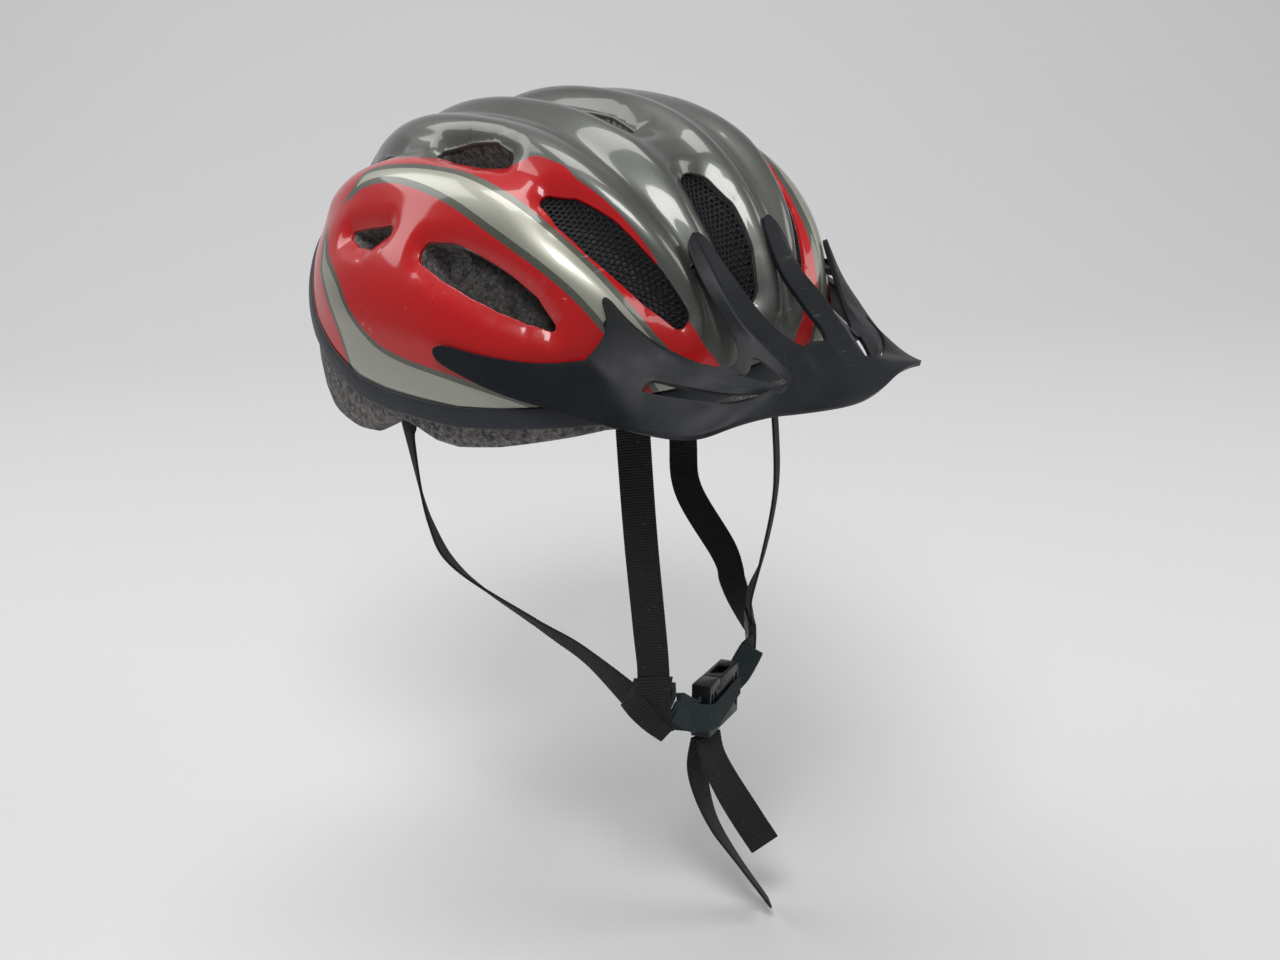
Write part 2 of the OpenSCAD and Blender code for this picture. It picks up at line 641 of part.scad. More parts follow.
left_quads = concat(
    [for (i = [0 : len(skirt_top) - 2]) [skirt(0, i), skirt(1, i), skirt(1, i + 1), skirt(0, i + 1)]],
    [for (line = [0, 1]) for (i = [0 : len(horn_inside) - 1])
        [horn(line, i), horn(line + 1, i), horn(line + 1, i + 1), horn(line, i + 1)]],
    [for (line = [0, 1]) for (i = [0 : len(finger_inside) - 1])
        [finger(line + 1, i), finger(line, i), finger(line, i + 1), finger(line + 1, i + 1)]],
    [for (i = [0 : 2]) [horn(2, i + 1), skirt(0, i + 7), skirt(0, i + 8), horn(2, i + 2)]],
    [
        [finger(0, 6), bar(0, 1), bar(1, 1), finger(0, 7)],
        [bar(0, 1), bar(0, 0), bar(1, 0), bar(1, 1)],
        [bar(0, 0), horn(0, 6), horn(0, 7), bar(1, 0)]
    ]
);
// The right half shares the left half's points on the middle line
visor_left = [for (c = flat(visor_lines)) on_dome(c[0], c[1], c[2])];
function middle(v) = abs(v.x) < 0.01;
function twin(i) = middle(visor_left[i]) ? i : i + visor_count;
visor_outer = concat(visor_left, [for (v = visor_left) mirrored(v)]);
visor_quads = concat(left_quads, [for (f = left_quads) [twin(f[3]), twin(f[2]), twin(f[1]), twin(f[0])]]);
// The way into the wall at a point, from the panels round it
function inward(f) =
    cross(visor_outer[f[2]] - visor_outer[f[0]], visor_outer[f[3]] - visor_outer[f[1]]);
function has(f, i) = f[0] == i || f[1] == i || f[2] == i || f[3] == i;
left_inner = [for (i = [0 : visor_count - 1])
    let (n = total([for (f = left_quads) if (has(f, i)) inward(f)]))
    visor_left[i] + visor_t * unit(middle(visor_left[i]) ? [0, n.y, n.z] : n)];
visor_inner = concat(left_inner, [for (v = left_inner) mirrored(v)]);

// The visor's wall: one sheet of four-cornered panels, closed along each of its free edges
module visor_sheet() {
    size = 2 * visor_count;
    sides = [for (f = visor_quads) for (k = [0 : 3]) [f[k], f[(k + 1) % 4]]];
    free = [for (s = sides) if (len([for (other = sides) if (other == [s[1], s[0]]) 1]) == 0) s];
    polyhedron(
        points = concat(visor_outer, visor_inner),
        faces = concat(
            flat([for (f = visor_quads) [[f[0], f[1], f[2]], [f[0], f[2], f[3]]]]),
            flat([for (f = visor_quads)
                [[f[2] + size, f[1] + size, f[0] + size], [f[3] + size, f[2] + size, f[0] + size]]]),
            flat([for (s = free) [[s[1], s[0], s[0] + size], [s[1], s[0] + size, s[1] + size]]])
        )
    );
}

// A peg starts in the middle of the visor's wall
function peg_start(at) = -1.2 * (at[2] - visor_t / 2 - relief(at[0], at[1]));

module visor() {
    color([0.09, 0.09, 0.10]) {
        visor_sheet();
        both_sides()
            for (at = pegs_at)
                peg_bar(at, peg_d, peg_start(at), bush_in + peg_reach);
    }
}

module visor_bushes() {
    color([0.16, 0.16, 0.17])
        both_sides()
            for (at = pegs_at)
                difference() {
                    peg_bar(at, bush_d, bush_in, bush_in + bush_l);
                    peg_bar(at, bush_bore, bush_in - 1, bush_in + bush_l - bush_wall);
                }
}

module anchor(at) {
    color([0.10, 0.10, 0.10]) inner_disc(at, anchor_d, -anchor_proud, anchor_t);
}
module front_anchor_left() { anchor(front_anchor_at); }
module front_anchor_right() { mirror([1, 0, 0]) anchor(front_anchor_at); }
module rear_anchor_left() { anchor(rear_anchor_at); }
module rear_anchor_right() { mirror([1, 0, 0]) anchor(rear_anchor_at); }

// Flat webbing along a line; each stop is [point, direction across the webbing],
// and its ends are cut square to the ways given
module webbing(stops, start_way, end_way) {
    n = len(stops);
    function along(i) =
        i == 0 && start_way != undef ? start_way
        : i == n - 1 && end_way != undef ? end_way
        : unit(stops[min(i + 1, n - 1)][0] - stops[max(i - 1, 0)][0]);
    function across(i) = let (s = stops[i][1], t = along(i)) unit(s - t * (s * t));
    function corner(i, a, b) =
        stops[i][0] + across(i) * (a * web_w / 2) + cross(along(i), across(i)) * (b * web_t / 2);
    last = 4 * n - 4;
    polyhedron(
        points = flat([for (i = [0 : n - 1])
            [corner(i, -1, -1), corner(i, 1, -1), corner(i, 1, 1), corner(i, -1, 1)]]),
        faces = concat(
            flat([for (k = [0 : n - 2]) loop_faces(ring(0, 4, k), ring(0, 4, k + 1))]),
            [[0, 1, 2], [0, 2, 3]],
            [[last + 3, last + 2, last + 1], [last + 3, last + 1, last]]
        )
    );
}
// A smooth line through the given stops, with more stops between them
function smooth_stops(stops, parts = 3) =
    let (n = len(stops) - 1)
    concat(
        [for (i = [0 : n - 1]) for (k = [0 : parts - 1])
            let (
                t = k / parts,
                a = stops[max(i - 1, 0)],
                b = stops[i],
                c = stops[i + 1],
                d = stops[min(i + 2, n)]
            )
            b + t / 2 * ((c - a) + t * ((2 * a - 5 * b + 4 * c - d) + t * (3 * b - a - 3 * c + d)))],
        [stops[n]]
    );
function stops_right(stops) = [for (s = stops) [mirrored(s[0]), mirrored(s[1])]];

// A stop on the foam's inner face, where the webbing lies over its anchor
function inner_stop(p, q) = [
    on_dome(p, q, -liner_t - anchor_proud - web_gap - web_t / 2),
    unit(cross(dome_normal(p, q), [0, 0, -1]))
];
// The way along a left divider's plate, to the wearer's left
divider_along = [cos(divider_turn), sin(divider_turn), 0];
// The straps meet a divider face to face at its top and its two sides
divider_reach = divider_w / 2 + web_gap;

function front_stops(divider) = [
    inner_stop(front_anchor_at[0], front_anchor_at[1]),
    inner_stop(front_anchor_at[0] + 3.5, front_anchor_at[1] + 7.2),
    [[42.4, -86.6, -16], [0.8, 0.6, 0]],
    [[42, -87.8, -60], [0.8, 0.6, 0]],
    [mix([41, -87.8, -100], divider + [0, 0, 43], 0.5), [0.8, 0.6, 0]],
    [divider + [0, 0, divider_up + web_gap + 10], divider_along],
    [divider + [0, 0, divider_up + web_gap], divider_along]
];
function rear_stops(divider) = [
    inner_stop(rear_anchor_at[0], rear_anchor_at[1]),
    inner_stop(rear_anchor_at[0] + 9.6, rear_anchor_at[1] - 2.8),
    [[83.4, 25.5, -32], [-0.3, 0.95, 0]],
    [[80.5, 20, -72], [-0.6, 0.72, -0.35]],
    [[73, 9, -97], [-0.75, 0.35, -0.6]],
    [[59.5, -32, -116.5], [-0.6, 0.1, -0.8]],
    [mix([52, -56, -125], divider + [12, 34, 15], 0.5), [-0.4, -0.1, -0.9]],
    [divider + divider_along * divider_reach + [0, 0, 2], [0, 0, -1]]
];

module strap(stops, end_way) {
    color([0.07, 0.07, 0.07]) webbing(smooth_stops(stops), undef, end_way);
}
module front_strap_left() { strap(front_stops(left_divider), [0, 0, -1]); }
module front_strap_right() { strap(stops_right(front_stops(mirrored(right_divider))), [0, 0, -1]); }
module rear_strap_left() { strap(rear_stops(left_divider), -divider_along); }
module rear_strap_right() {
    strap(stops_right(rear_stops(mirrored(right_divider))), -mirrored(divider_along));
}

// A divider: a small plate with two slots, pointed below
module divider(place, turn) {
    half = divider_w / 2;
    color([0.06, 0.06, 0.06])
        translate(place)
        rotate([90, 0, turn])
        difference() {
            linear_extrude(height = divider_t, center = true)
                polygon([[-half, divider_up], [half, divider_up], [half, 3], [4, -divider_down],
                    [-4, -divider_down], [-half, 3]]);
            translate([0, 6, 0])
                cube([web_w + 1, slot_w, divider_t + 1], center = true);
            translate([0, 1, 0])
                cube([web_w * 0.6, slot_w, divider_t + 1], center = true);
        }
}
module divider_left() { divider(left_divider, divider_turn); }
module divider_right() { divider(right_divider, -divider_turn); }

// The buckle's own frame: x runs from plug to socket, z across the webbing, y through its thickness
module in_buckle() {
    translate(buckle_center) rotate([0, buckle_pitch, buckle_yaw]) children();
}
function buckle_direction(v) =
    let (
        x = v.x * cos(buckle_pitch) + v.z * sin(buckle_pitch),
        z = v.z * cos(buckle_pitch) - v.x * sin(buckle_pitch)
    )
    [x * cos(buckle_yaw) - v.y * sin(buckle_yaw), x * sin(buckle_yaw) + v.y * cos(buckle_yaw), z];
function buckle_point(v) = buckle_center + buckle_direction(v);

module chin_strap(stops, start_way, end_way) {
    color([0.05, 0.09, 0.09]) webbing(smooth_stops(stops), start_way, end_way);
}
module chin_strap_left() {
    way = buckle_direction([1, 0, 0]);
    across = buckle_direction([0, 0, 1]);
    start = buckle_point([socket_end + web_gap, 0, 0]);
    finish = left_divider - divider_along * divider_reach + [0, 0, -2];
    chin_strap([[start, across], [start + way * 8, across], [finish, [0, 0, 1]]], way, divider_along);
}
module chin_strap_right() {
    way = -mirrored(divider_along);
    end_way = buckle_direction([1, 0, 0]);
    across = buckle_direction([0, 0, 1]);
    start = right_divider + way * divider_reach + [0, 0, -2];
    finish = buckle_point([plug_root - plug_l - web_gap, 0, 0]);
    chin_strap([[start, [0, 0, 1]], [finish - end_way * 7, across], [finish, across]], way, end_way);
}

// The socket: a bay for the prongs, windows in both edges to squeeze them, and a bar for the webbing
module buckle_socket() {
    bay_l = socket_l - 2 * bar_w - slot_w;
    color([0.05, 0.05, 0.05])
        in_buckle()
        difference() {
            translate([plug_root, -buckle_t / 2, -buckle_w / 2])
                cube([socket_l, buckle_t, buckle_w]);
            translate([plug_root - 1, -bay_t / 2, -bay_w / 2])
                cube([bay_l + 1, bay_t, bay_w]);
            translate([plug_root + 5, -bay_t / 2, -buckle_w])
                cube([bay_l - 7, bay_t, 2 * buckle_w]);
            translate([socket_end - bar_w - slot_w, -buckle_t, -web_w / 2 - 0.5])
                cube([slot_w, 2 * buckle_t, web_w + 1]);
        }
}

// The plug: a ladder lock for the webbing, a tongue, and a pocket and a pin hole for each prong
module buckle_plug() {
    pocket_w = prong_w + 1.6;
    color([0.05, 0.05, 0.05])
        in_buckle()
        difference() {
            union() {
                translate([plug_root - plug_l, -buckle_t / 2, -buckle_w / 2])
                    cube([plug_l - buckle_gap, buckle_t, buckle_w]);
                translate([plug_root - 1, -tongue_t / 2, -tongue_w / 2])
                    cube([prong_l - 1, tongue_t, tongue_w]);
            }
            for (x = [bar_w, 2 * bar_w + slot_w])
                translate([plug_root - plug_l + x, -buckle_t, -web_w / 2 - 0.5])
                    cube([slot_w, 2 * buckle_t, web_w + 1]);
            for (side = [-1, 1]) {
                translate([pivot_x - pocket_w / 2, -tongue_t / 2 - 0.3, side * pivot_z - pocket_w / 2])
                    cube([pocket_w + 4, tongue_t + 0.6, pocket_w]);
                translate([pivot_x, 0, side * pivot_z])
                    rotate([90, 0, 0])
                    cylinder(h = 2 * buckle_t, d = pivot_d + 0.1, center = true, $fn = 24);
            }
        }
}

// A prong: an eye on its pin, an arm, and a wider end that is squeezed
module prong(side) {
    arm_w = prong_w * 0.7;
    end_w = arm_w / 2 + bay_w / 2 - buckle_gap - pivot_z;
    color([0.05, 0.05, 0.05])
        in_buckle()
        translate([pivot_x, 0, side * pivot_z]) {
            rotate([90, 0, 0])
                cylinder(h = tongue_t, d = prong_w, center = true, $fn = 32);
            rotate([90, 0, 0])
                cylinder(h = buckle_t - 0.4, d = pivot_d, center = true, $fn = 24);
            translate([0, -tongue_t / 2, -arm_w / 2])
                cube([prong_l, tongue_t, arm_w]);
            translate([prong_l - 6, -tongue_t / 2, side > 0 ? -arm_w / 2 : arm_w / 2 - end_w])
                cube([6, tongue_t, end_w]);
        }
}
module upper_prong() { prong(1); }
module lower_prong() { prong(-1); }

// A tail hangs from the lower edge of the ladder lock; its stops are given for its standard length
module tail(root, share, stops) {
    color([0.07, 0.07, 0.07])
        webbing(smooth_stops([for (s = stops) [root + s[0] * share, s[1]]]));
}
// A tail's level end clears the buckle's tilted edge
tail_drop = web_w / 2 * sin(buckle_pitch) + web_gap;
function tail_root(y) = buckle_point([plug_root - plug_l / 2, y, -buckle_w / 2]) - [0, 0, tail_drop];
module flat_tail() {
    tail(tail_root(-web_t), flat_tail_l / 56, [
        [[0, 0, 0], [1, 0, 0]],
        [[0, -3, -11], [1, 0, 0.05]],
        [[3, -9, -25], [0.9, -0.1, 0.3]],
        [[8, -16.5, -41], [0.75, -0.3, 0.6]],
        [[13, -23, -55], [0.7, -0.3, 0.65]]
    ]);
}
module twisted_tail() {
    tail(tail_root(web_t), twisted_tail_l / 88, [
        [[0, 0, 0], [1, 0, 0]],
        [[-1, 3, -15], [1, 0.1, 0]],
        [[0, 2, -31], [0.9, 0.35, 0]],
        [[2, -4, -48], [0.78, 0.6, -0.1]],
        [[6, -15, -64], [0.66, 0.7, -0.25]],
        [[14, -28, -86], [0.61, 0.72, -0.33]]
    ]);
}

outer_shell();
rim_band();
foam_liner();
insect_net_center();
insect_net_left();
insect_net_right();
brow_pad();
crown_pad_left();
crown_pad_right();
side_pad_left();
side_pad_right();
rear_pad_left();
rear_pad_right();
pad_dots();
visor();
visor_bushes();
front_anchor_left();
front_anchor_right();
rear_anchor_left();
rear_anchor_right();
front_strap_left();
front_strap_right();
rear_strap_left();
rear_strap_right();
divider_left();
divider_right();
chin_strap_left();
chin_strap_right();
buckle_socket();
buckle_plug();
upper_prong();
lower_prong();
flat_tail();
twisted_tail();
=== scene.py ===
"""Dresses the bicycle helmet: shell, band, foam, nets, visor, straps, pads and buckle."""

import math
from contextlib import contextmanager

import bmesh
import bpy
import numpy as np
from bpy.props import FloatProperty, FloatVectorProperty, IntProperty, PointerProperty
from mathutils import Matrix, Vector


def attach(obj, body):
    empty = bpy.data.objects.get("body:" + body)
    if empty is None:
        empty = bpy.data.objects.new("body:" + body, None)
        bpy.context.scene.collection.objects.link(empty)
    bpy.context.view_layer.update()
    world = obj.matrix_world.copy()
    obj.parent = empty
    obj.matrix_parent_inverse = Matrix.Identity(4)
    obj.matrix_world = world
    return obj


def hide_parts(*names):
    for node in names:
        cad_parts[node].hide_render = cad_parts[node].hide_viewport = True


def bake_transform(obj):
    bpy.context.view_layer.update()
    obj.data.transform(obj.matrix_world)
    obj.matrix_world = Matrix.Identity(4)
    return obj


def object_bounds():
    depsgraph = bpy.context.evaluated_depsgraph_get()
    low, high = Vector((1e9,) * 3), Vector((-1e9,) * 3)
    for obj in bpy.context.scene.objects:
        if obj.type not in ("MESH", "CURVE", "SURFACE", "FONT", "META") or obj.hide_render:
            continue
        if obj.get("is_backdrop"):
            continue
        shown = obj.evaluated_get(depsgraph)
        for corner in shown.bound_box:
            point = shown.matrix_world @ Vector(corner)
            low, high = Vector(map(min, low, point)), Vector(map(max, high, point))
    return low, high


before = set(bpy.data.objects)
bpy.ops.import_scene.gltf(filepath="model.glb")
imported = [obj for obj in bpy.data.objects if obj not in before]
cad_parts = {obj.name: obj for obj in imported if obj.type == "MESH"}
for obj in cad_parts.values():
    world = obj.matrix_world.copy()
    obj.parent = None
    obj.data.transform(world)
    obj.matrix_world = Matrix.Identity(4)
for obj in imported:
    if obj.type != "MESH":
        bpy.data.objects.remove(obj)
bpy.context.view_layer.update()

bl_info = {
    "name": "Bicycle Helmet with Visor",
    "version": (1, 0, 0),
    "blender": (4, 5, 0),
    "location": "3D View > Sidebar > Helmet",
    "description": "Builds the helmet's shell, foam, nets, visor, straps, pads and buckle",
    "category": "Add Mesh",
}

# Lengths below are in millimetres, and meshes are made in metres
MM = 0.001

# The dome, as in the part's source: half width, reaches, height, squareness and taper
HALF_WIDTH = 110
FRONT_REACH = 122.6
REAR_REACH = 135
CROWN_HEIGHT = 115.6
SQUARENESS = 2.33
FRONT_TAPER = 0.07
SHELL_WALL = 1.2
FOAM_WALL = 24
CHART_SIDE = 88
CORNER_AZIMUTH = 56

# Chart reach of the lower edges of shell and foam, by azimuth from the front
SHELL_RIM = [(0, 83), (30, 85), (50, 86.7), (67, 88.2), (90, 88), (100, 87), (110, 83.5), (121, 78.5),
             (132, 71), (145, 66), (160, 64), (180, 64)]
FOAM_RIM = [(0, 91), (34, 92.5), (48, 95.6), (58, 98), (70, 100), (77, 99.6), (85, 97), (91, 96),
            (96, 98.6), (102, 102.4), (110, 103.2), (125, 102), (145, 98), (162, 94.5), (180, 93.5)]

# Vents as chains of (side, forward, half width) on the chart
FRONT_CENTER_VENT = [(0, 45.5, 4.4), (0, 52, 5.9), (0, 60, 5.9), (0, 67.5, 4.6)]
CROWN_VENT = [(0, -22, 2.6), (0, -6, 4), (0, 12, 4.2), (0, 20, 3.2)]
REAR_CENTER_VENT = [(0, -41, 2.4), (0, -52, 3.4)]
FRONT_SIDE_VENT = [(31.6, 31.2, 2), (30.4, 37, 3.9), (28.6, 45.5, 4.7), (26.8, 53, 4.4), (24.6, 60, 4),
                   (21.6, 67.3, 2.7)]
SIDE_VENT = [(55.2, 9, 3), (54.5, 17, 4.5), (53.7, 27, 4.7), (52.2, 36, 4.3), (50.3, 44, 3.2),
             (49, 50.5, 1.2)]
TOP_SIDE_VENT = [(31, -9, 1.5), (30.5, 0, 3.4), (29.5, 8, 3.6), (28.6, 13.5, 2)]
REAR_SIDE_VENT = [(52.2, -26.5, 1.2), (53.6, -21, 2.5), (54.2, -15, 3), (52.6, -9.5, 1.7)]
REAR_RIB_VENT = [(15.5, -38, 1.6), (15, -47, 2.6), (14, -54, 1.8)]
REAR_TOP_VENT = [(31, -27, 1.4), (29, -37, 2.8), (26, -46, 2)]
VENTS = [FRONT_CENTER_VENT, CROWN_VENT, REAR_CENTER_VENT, FRONT_SIDE_VENT, SIDE_VENT, TOP_SIDE_VENT,
         REAR_SIDE_VENT, REAR_RIB_VENT, REAR_TOP_VENT]

# Places of the fittings: visor pegs, anchors, pads, dividers and buckle
PEGS = [(12.6, 62, 6.1), (36.2, 61.2, 6.5)]
PEG_DIAMETER = 5
FRONT_ANCHOR = (36.8, 75.5)
REAR_ANCHOR = (89.4, -25.6)
BROW_PAD = (0, 78.5, 26, 5)
CROWN_PAD = (15.5, 6, 5.5, 26)
SIDE_PAD = (69, 12, 5.5, 22)
REAR_PAD = (24, -70, 11, 6)
RIGHT_DIVIDER = np.array([-40.0, -90.0, -143.0])
LEFT_DIVIDER = np.array([44.0, -66.0, -146.0])
DIVIDER_TURN = math.radians(52)
BUCKLE_CENTER = np.array([8.0, -82.0, -159.0])
BUCKLE_YAW = math.radians(27)
BUCKLE_PITCH = math.radians(8)
BUCKLE_THICKNESS = 9
SOCKET_END = 13
PLUG_ROOT = -13
PLUG_LENGTH = 14
WEB_WIDTH = 15
WEB_THICKNESS = 1.4
WEB_GAP = 0.3

# Outlines painted on the shell, on the chart, for both sides
GREY_EDGE = [(36, -75), (38, -60), (38, -45), (37, -33), (34.8, -22.3), (34.9, -13.8), (33.8, -9.4),
             (32.4, -6), (31.4, 1), (30.8, 8), (29.4, 14), (28.3, 18), (26.2, 21.4), (25.3, 26), (24.7, 29.6),
             (24.9, 33.1), (24.3, 36.5), (23.7, 40), (22.9, 45), (21.7, 53.6), (20.8, 62.5), (19.9, 68.5),
             (18.3, 74.5), (14.8, 80), (12, 90)]
GREY_BEYOND = [(-20, 95), (-20, -90), (36, -90)]
STRIPE_UPPER = [(45, -34), (42, -29.2), (38.9, -26.5), (38, -23.3), (37.8, -15), (37.2, -2.4), (36.4, 8.7),
                (36, 20.6), (35.5, 29.8), (34.7, 38.5), (33.3, 48.4), (31.8, 57), (29.5, 66.1), (27.8, 70.4),
                (24.5, 77), (20, 88)]
STRIPE_LOWER = [(45, -34), (44, -27.6), (43.2, -24.3), (42.8, -18.4), (43, -10), (43.8, 1), (44.5, 12.7),
                (44.9, 23.5), (44.4, 33), (43.2, 41.5), (42, 48.1), (41.1, 53.3), (39.9, 60.6), (38, 68),
                (35, 78), (32, 90)]
SWOOSH_UPPER = [(44, -42), (49, -38), (55.1, -34.3), (60.3, -27.7), (64.3, -22.6), (71.9, -14.7),
                (77.3, -4.1), (78.8, 7.7), (77.6, 20), (74.5, 33), (70, 45), (64, 57), (58, 68), (52, 80)]
SWOOSH_BEYOND = [(70, 95), (110, 60), (115, 0), (105, -14)]
SWOOSH_REAR = [(44, -42), (49, -40.5), (57.5, -38.1), (62.7, -33.9), (69.1, -28.6), (74.9, -24.7),
               (80.5, -21.7), (88, -18), (96, -16)]

# Ribs and valleys as (height or depth in millimetres, half width in degrees of the chart)
INNER_RIB = (3.2, 3.8)
OUTER_RIB = (4.2, 4.4)
SIDE_RIB = (2.6, 5)
SHOULDER = (1.4, 8)
CROWN_VALLEY = (7.5, 5.6)
FRONT_VALLEY = (2.2, 5)
SIDE_VALLEY = (3.4, 4.4)
SIDE_VENT_VALLEY = (2.2, 6.5)
REAR_VENT_VALLEY = (2.6, 5)
RIB_VALLEY = (1.6, 2.4)

# Side places of the shoulder and the outer valleys on the chart, in degrees
SHOULDER_PLACE = 68
SIDE_VALLEY_PLACE = 30
VENT_VALLEY_PLACE = 53

# The vents lie within this reach to each side of the chart
VENTS_REACH = 62

# Walls, gaps and depths, and the band's height, which is in degrees
BAND_HEIGHT = 4.6
FOAM_GAP = 0.25
NET_DEPTH = 2.6
NET_ROWS = 60
NET_COLUMNS = 16
RECESS_MIDDLE = (52.2, 36)
RECESS_DEPTH = 13
ANCHOR_THICKNESS = 1.3
VISOR_THICKNESS = 2.2
VISOR_EDGE = 0.45
PEG_END = 9.5
PAD_THICKNESS = 6
PAD_GAP = 1.25
DOT_THICKNESS = 0.8
DOT_GAP = 0.6
PAD_BACK = -FOAM_WALL - PAD_GAP - DOT_THICKNESS - DOT_GAP
BROW_BEND = 0.006

# A pad's outline, rim, welt and seam: shares of its half width or of its fullness, then heights
PAD_ROUNDNESS = 0.35
PAD_RIM = 0.3
WELT_PLACE = 0.9
WELT_WIDTH = 0.035
WELT_HEIGHT = 0.55
SEAM_HEIGHT = 0.45
RIPPLE_HEIGHT = 0.18

# How far a strap's skin stays inside its true size, and sinks between two ribs at its edge and on its face
WEB_SLACK = 0.01
EDGE_NOTCH = 0.15
RIB_DEPTH = 0.19

# The camera, fitted to the photograph: degrees, millimetres, and pixels of a picture of this size
CAMERA_AZIMUTH = -40.07
CAMERA_ELEVATION = 20.67
CAMERA_ROLL = 2.6
CAMERA_DISTANCE = 854.76
FOCAL_PIXELS = 1800.0
PICTURE_WIDTH = 1280
PICTURE_HEIGHT = 960
ORIGIN_PIXEL = (580.4, 343.3)
SENSOR_WIDTH = 36

# Colours of small marks, and the painted lines: blur and width on the chart, in degrees
SCUFF_COLOR = (0.5, 0.48, 0.46, 1)
DUST_COLOR = (0.16, 0.16, 0.16, 1)
LINT_COLOR = (0.2, 0.2, 0.2, 1)
PAINT_BLUR = 0.04
STRIPE_LINE = 1.5
SWOOSH_LINE = 1.3


# Small helpers
def smooth(a, b, x):
    """A soft step from 0 at a to 1 at b."""
    t = np.clip((np.asarray(x, float) - a) / (b - a), 0, 1)
    return t * t * (3 - 2 * t)


def bump_of(x, center, width):
    """A soft hill, 1 at its center."""
    return np.exp(-(((x - center) / width) ** 2))


def hill(x, center, form):
    """A soft hill whose form is (height, half width)."""
    return form[0] * bump_of(x, center, form[1])


def mix(a, b, t):
    return a + (b - a) * t


def unit(v):
    v = np.asarray(v, float)
    return v / np.linalg.norm(v, axis=-1, keepdims=True)


def mirrored(v):
    return np.array([-v[0], v[1], v[2]], float)


# The dome and its chart
def chart_direction(p, q):
    """Unit directions of places on the chart, which is in degrees."""
    p, q = np.broadcast_arrays(np.asarray(p, float), np.asarray(q, float))
    r = np.radians(np.hypot(p, q))
    share = np.where(r < 1e-6, 1.0, np.sin(r) / np.maximum(r, 1e-6)) * math.pi / 180
    return np.stack([share * p, -share * q, np.cos(r)], -1)


def dome_radius(d):
    """The dome's radius along unit directions."""
    side = HALF_WIDTH * (1 + FRONT_TAPER * d[..., 1])
    reach = mix(FRONT_REACH, REAR_REACH, (1 + np.tanh(3 * d[..., 1])) / 2)
    terms = (abs(d[..., 0]) / side, abs(d[..., 1]) / reach, abs(d[..., 2]) / CROWN_HEIGHT)
    return sum(term ** SQUARENESS for term in terms) ** (-1 / SQUARENESS)


def on_dome(p, q, offset=0.0):
    """Points on the dome, or off it by an offset."""
    d = chart_direction(p, q)
    return d * (dome_radius(d) + offset)[..., None]


def dome_normal(p, q):
    """The dome's outward direction, from neighbours one degree away."""
    forward = on_dome(p, q + 1.0) - on_dome(p, q - 1.0)
    sideways = on_dome(p + 1.0, q) - on_dome(p - 1.0, q)
    return unit(np.cross(forward, sideways))


def azimuth(p, q):
    return abs(np.degrees(np.arctan2(p, q)))


def rim_reach(az, table=SHELL_RIM):
    return np.interp(az, [row[0] for row in table], [row[1] for row in table])


def chain_distance(p, q, chain):
    """Signed distance on the chart to a chain of round-ended links, below 0 inside."""
    best = np.full(np.shape(p), 1e9)
    for a, b in zip(chain[:-1], chain[1:]):
        ab = (b[0] - a[0], b[1] - a[1])
        t = np.clip(((p - a[0]) * ab[0] + (q - a[1]) * ab[1]) / (ab[0] ** 2 + ab[1] ** 2), 0, 1)
        gap = np.hypot(p - a[0] - ab[0] * t, q - a[1] - ab[1] * t) - mix(a[2], b[2], t)
        best = np.minimum(best, gap)
    return best


def vent_distance(p, q):
    """Signed distance on the chart to the nearest vent."""
    side = abs(p)
    return np.min([chain_distance(side, q, vent) for vent in VENTS], axis=0)


# Ribs, valleys and the skin
def inner_rib(q):
    """Side place of the rib beside the crown, which draws in towards front and rear."""
    return 9.2 - 1.6 * smooth(20, 75, q) - 2 * smooth(20, 70, -q)


def outer_rib(q):
    """Side place of the rib between grey and silver."""
    return 23.4 - 5.5 * smooth(30, 75, q) - 7 * smooth(0, 70, -q)


def side_rib(q):
    """Side place of the rib over the side vents."""
    return 40.5 - 9 * smooth(35, 75, q) - 3 * smooth(5, 50, -q)


def relief(p, q, dip_depth=2.6, dip_width=4.2):
    """Height of the skin over the bare dome."""
    side = abs(p)
    edge = np.hypot(p, q) / rim_reach(azimuth(p, q))
    calm = 1 - smooth(0.84, 0.99, edge)
    ribs = (hill(side, inner_rib(q), INNER_RIB)
            + hill(side, outer_rib(q), OUTER_RIB) * (1 - 0.5 * smooth(50, 75, q))
            + hill(side, side_rib(q), SIDE_RIB))
    side_valley = hill(side, SIDE_VALLEY_PLACE, SIDE_VALLEY) * smooth(-55, -15, q)
    valleys = (hill(side, 0, CROWN_VALLEY) * smooth(-62, -30, q) * (1 - smooth(20, 33, q))
               + hill(side, 0, FRONT_VALLEY) * smooth(38, 46, q)
               + side_valley * (1 - 0.6 * smooth(15, 30, q))
               + hill(side, VENT_VALLEY_PLACE, SIDE_VENT_VALLEY) * bump_of(q, 27, 26)
               + hill(side, VENT_VALLEY_PLACE, REAR_VENT_VALLEY) * bump_of(q, -20, 13)
               + hill(side, (inner_rib(q) + outer_rib(q)) / 2, RIB_VALLEY))
    share = np.clip(1 - vent_distance(p, q) / dip_width, 0, 1)
    dip = dip_depth * share ** 1.7
    return calm * (ribs - valleys + hill(side, SHOULDER_PLACE, SHOULDER) - dip)


def rim_place(az, rear=False):
    """The rim's place on the chart at an azimuth, in degrees."""
    turn = np.where(rear, 180 - abs(az), abs(az))
    r = rim_reach(turn)
    return np.where(az < 0, -1, 1) * r * np.sin(np.radians(turn)), r * np.cos(np.radians(turn))


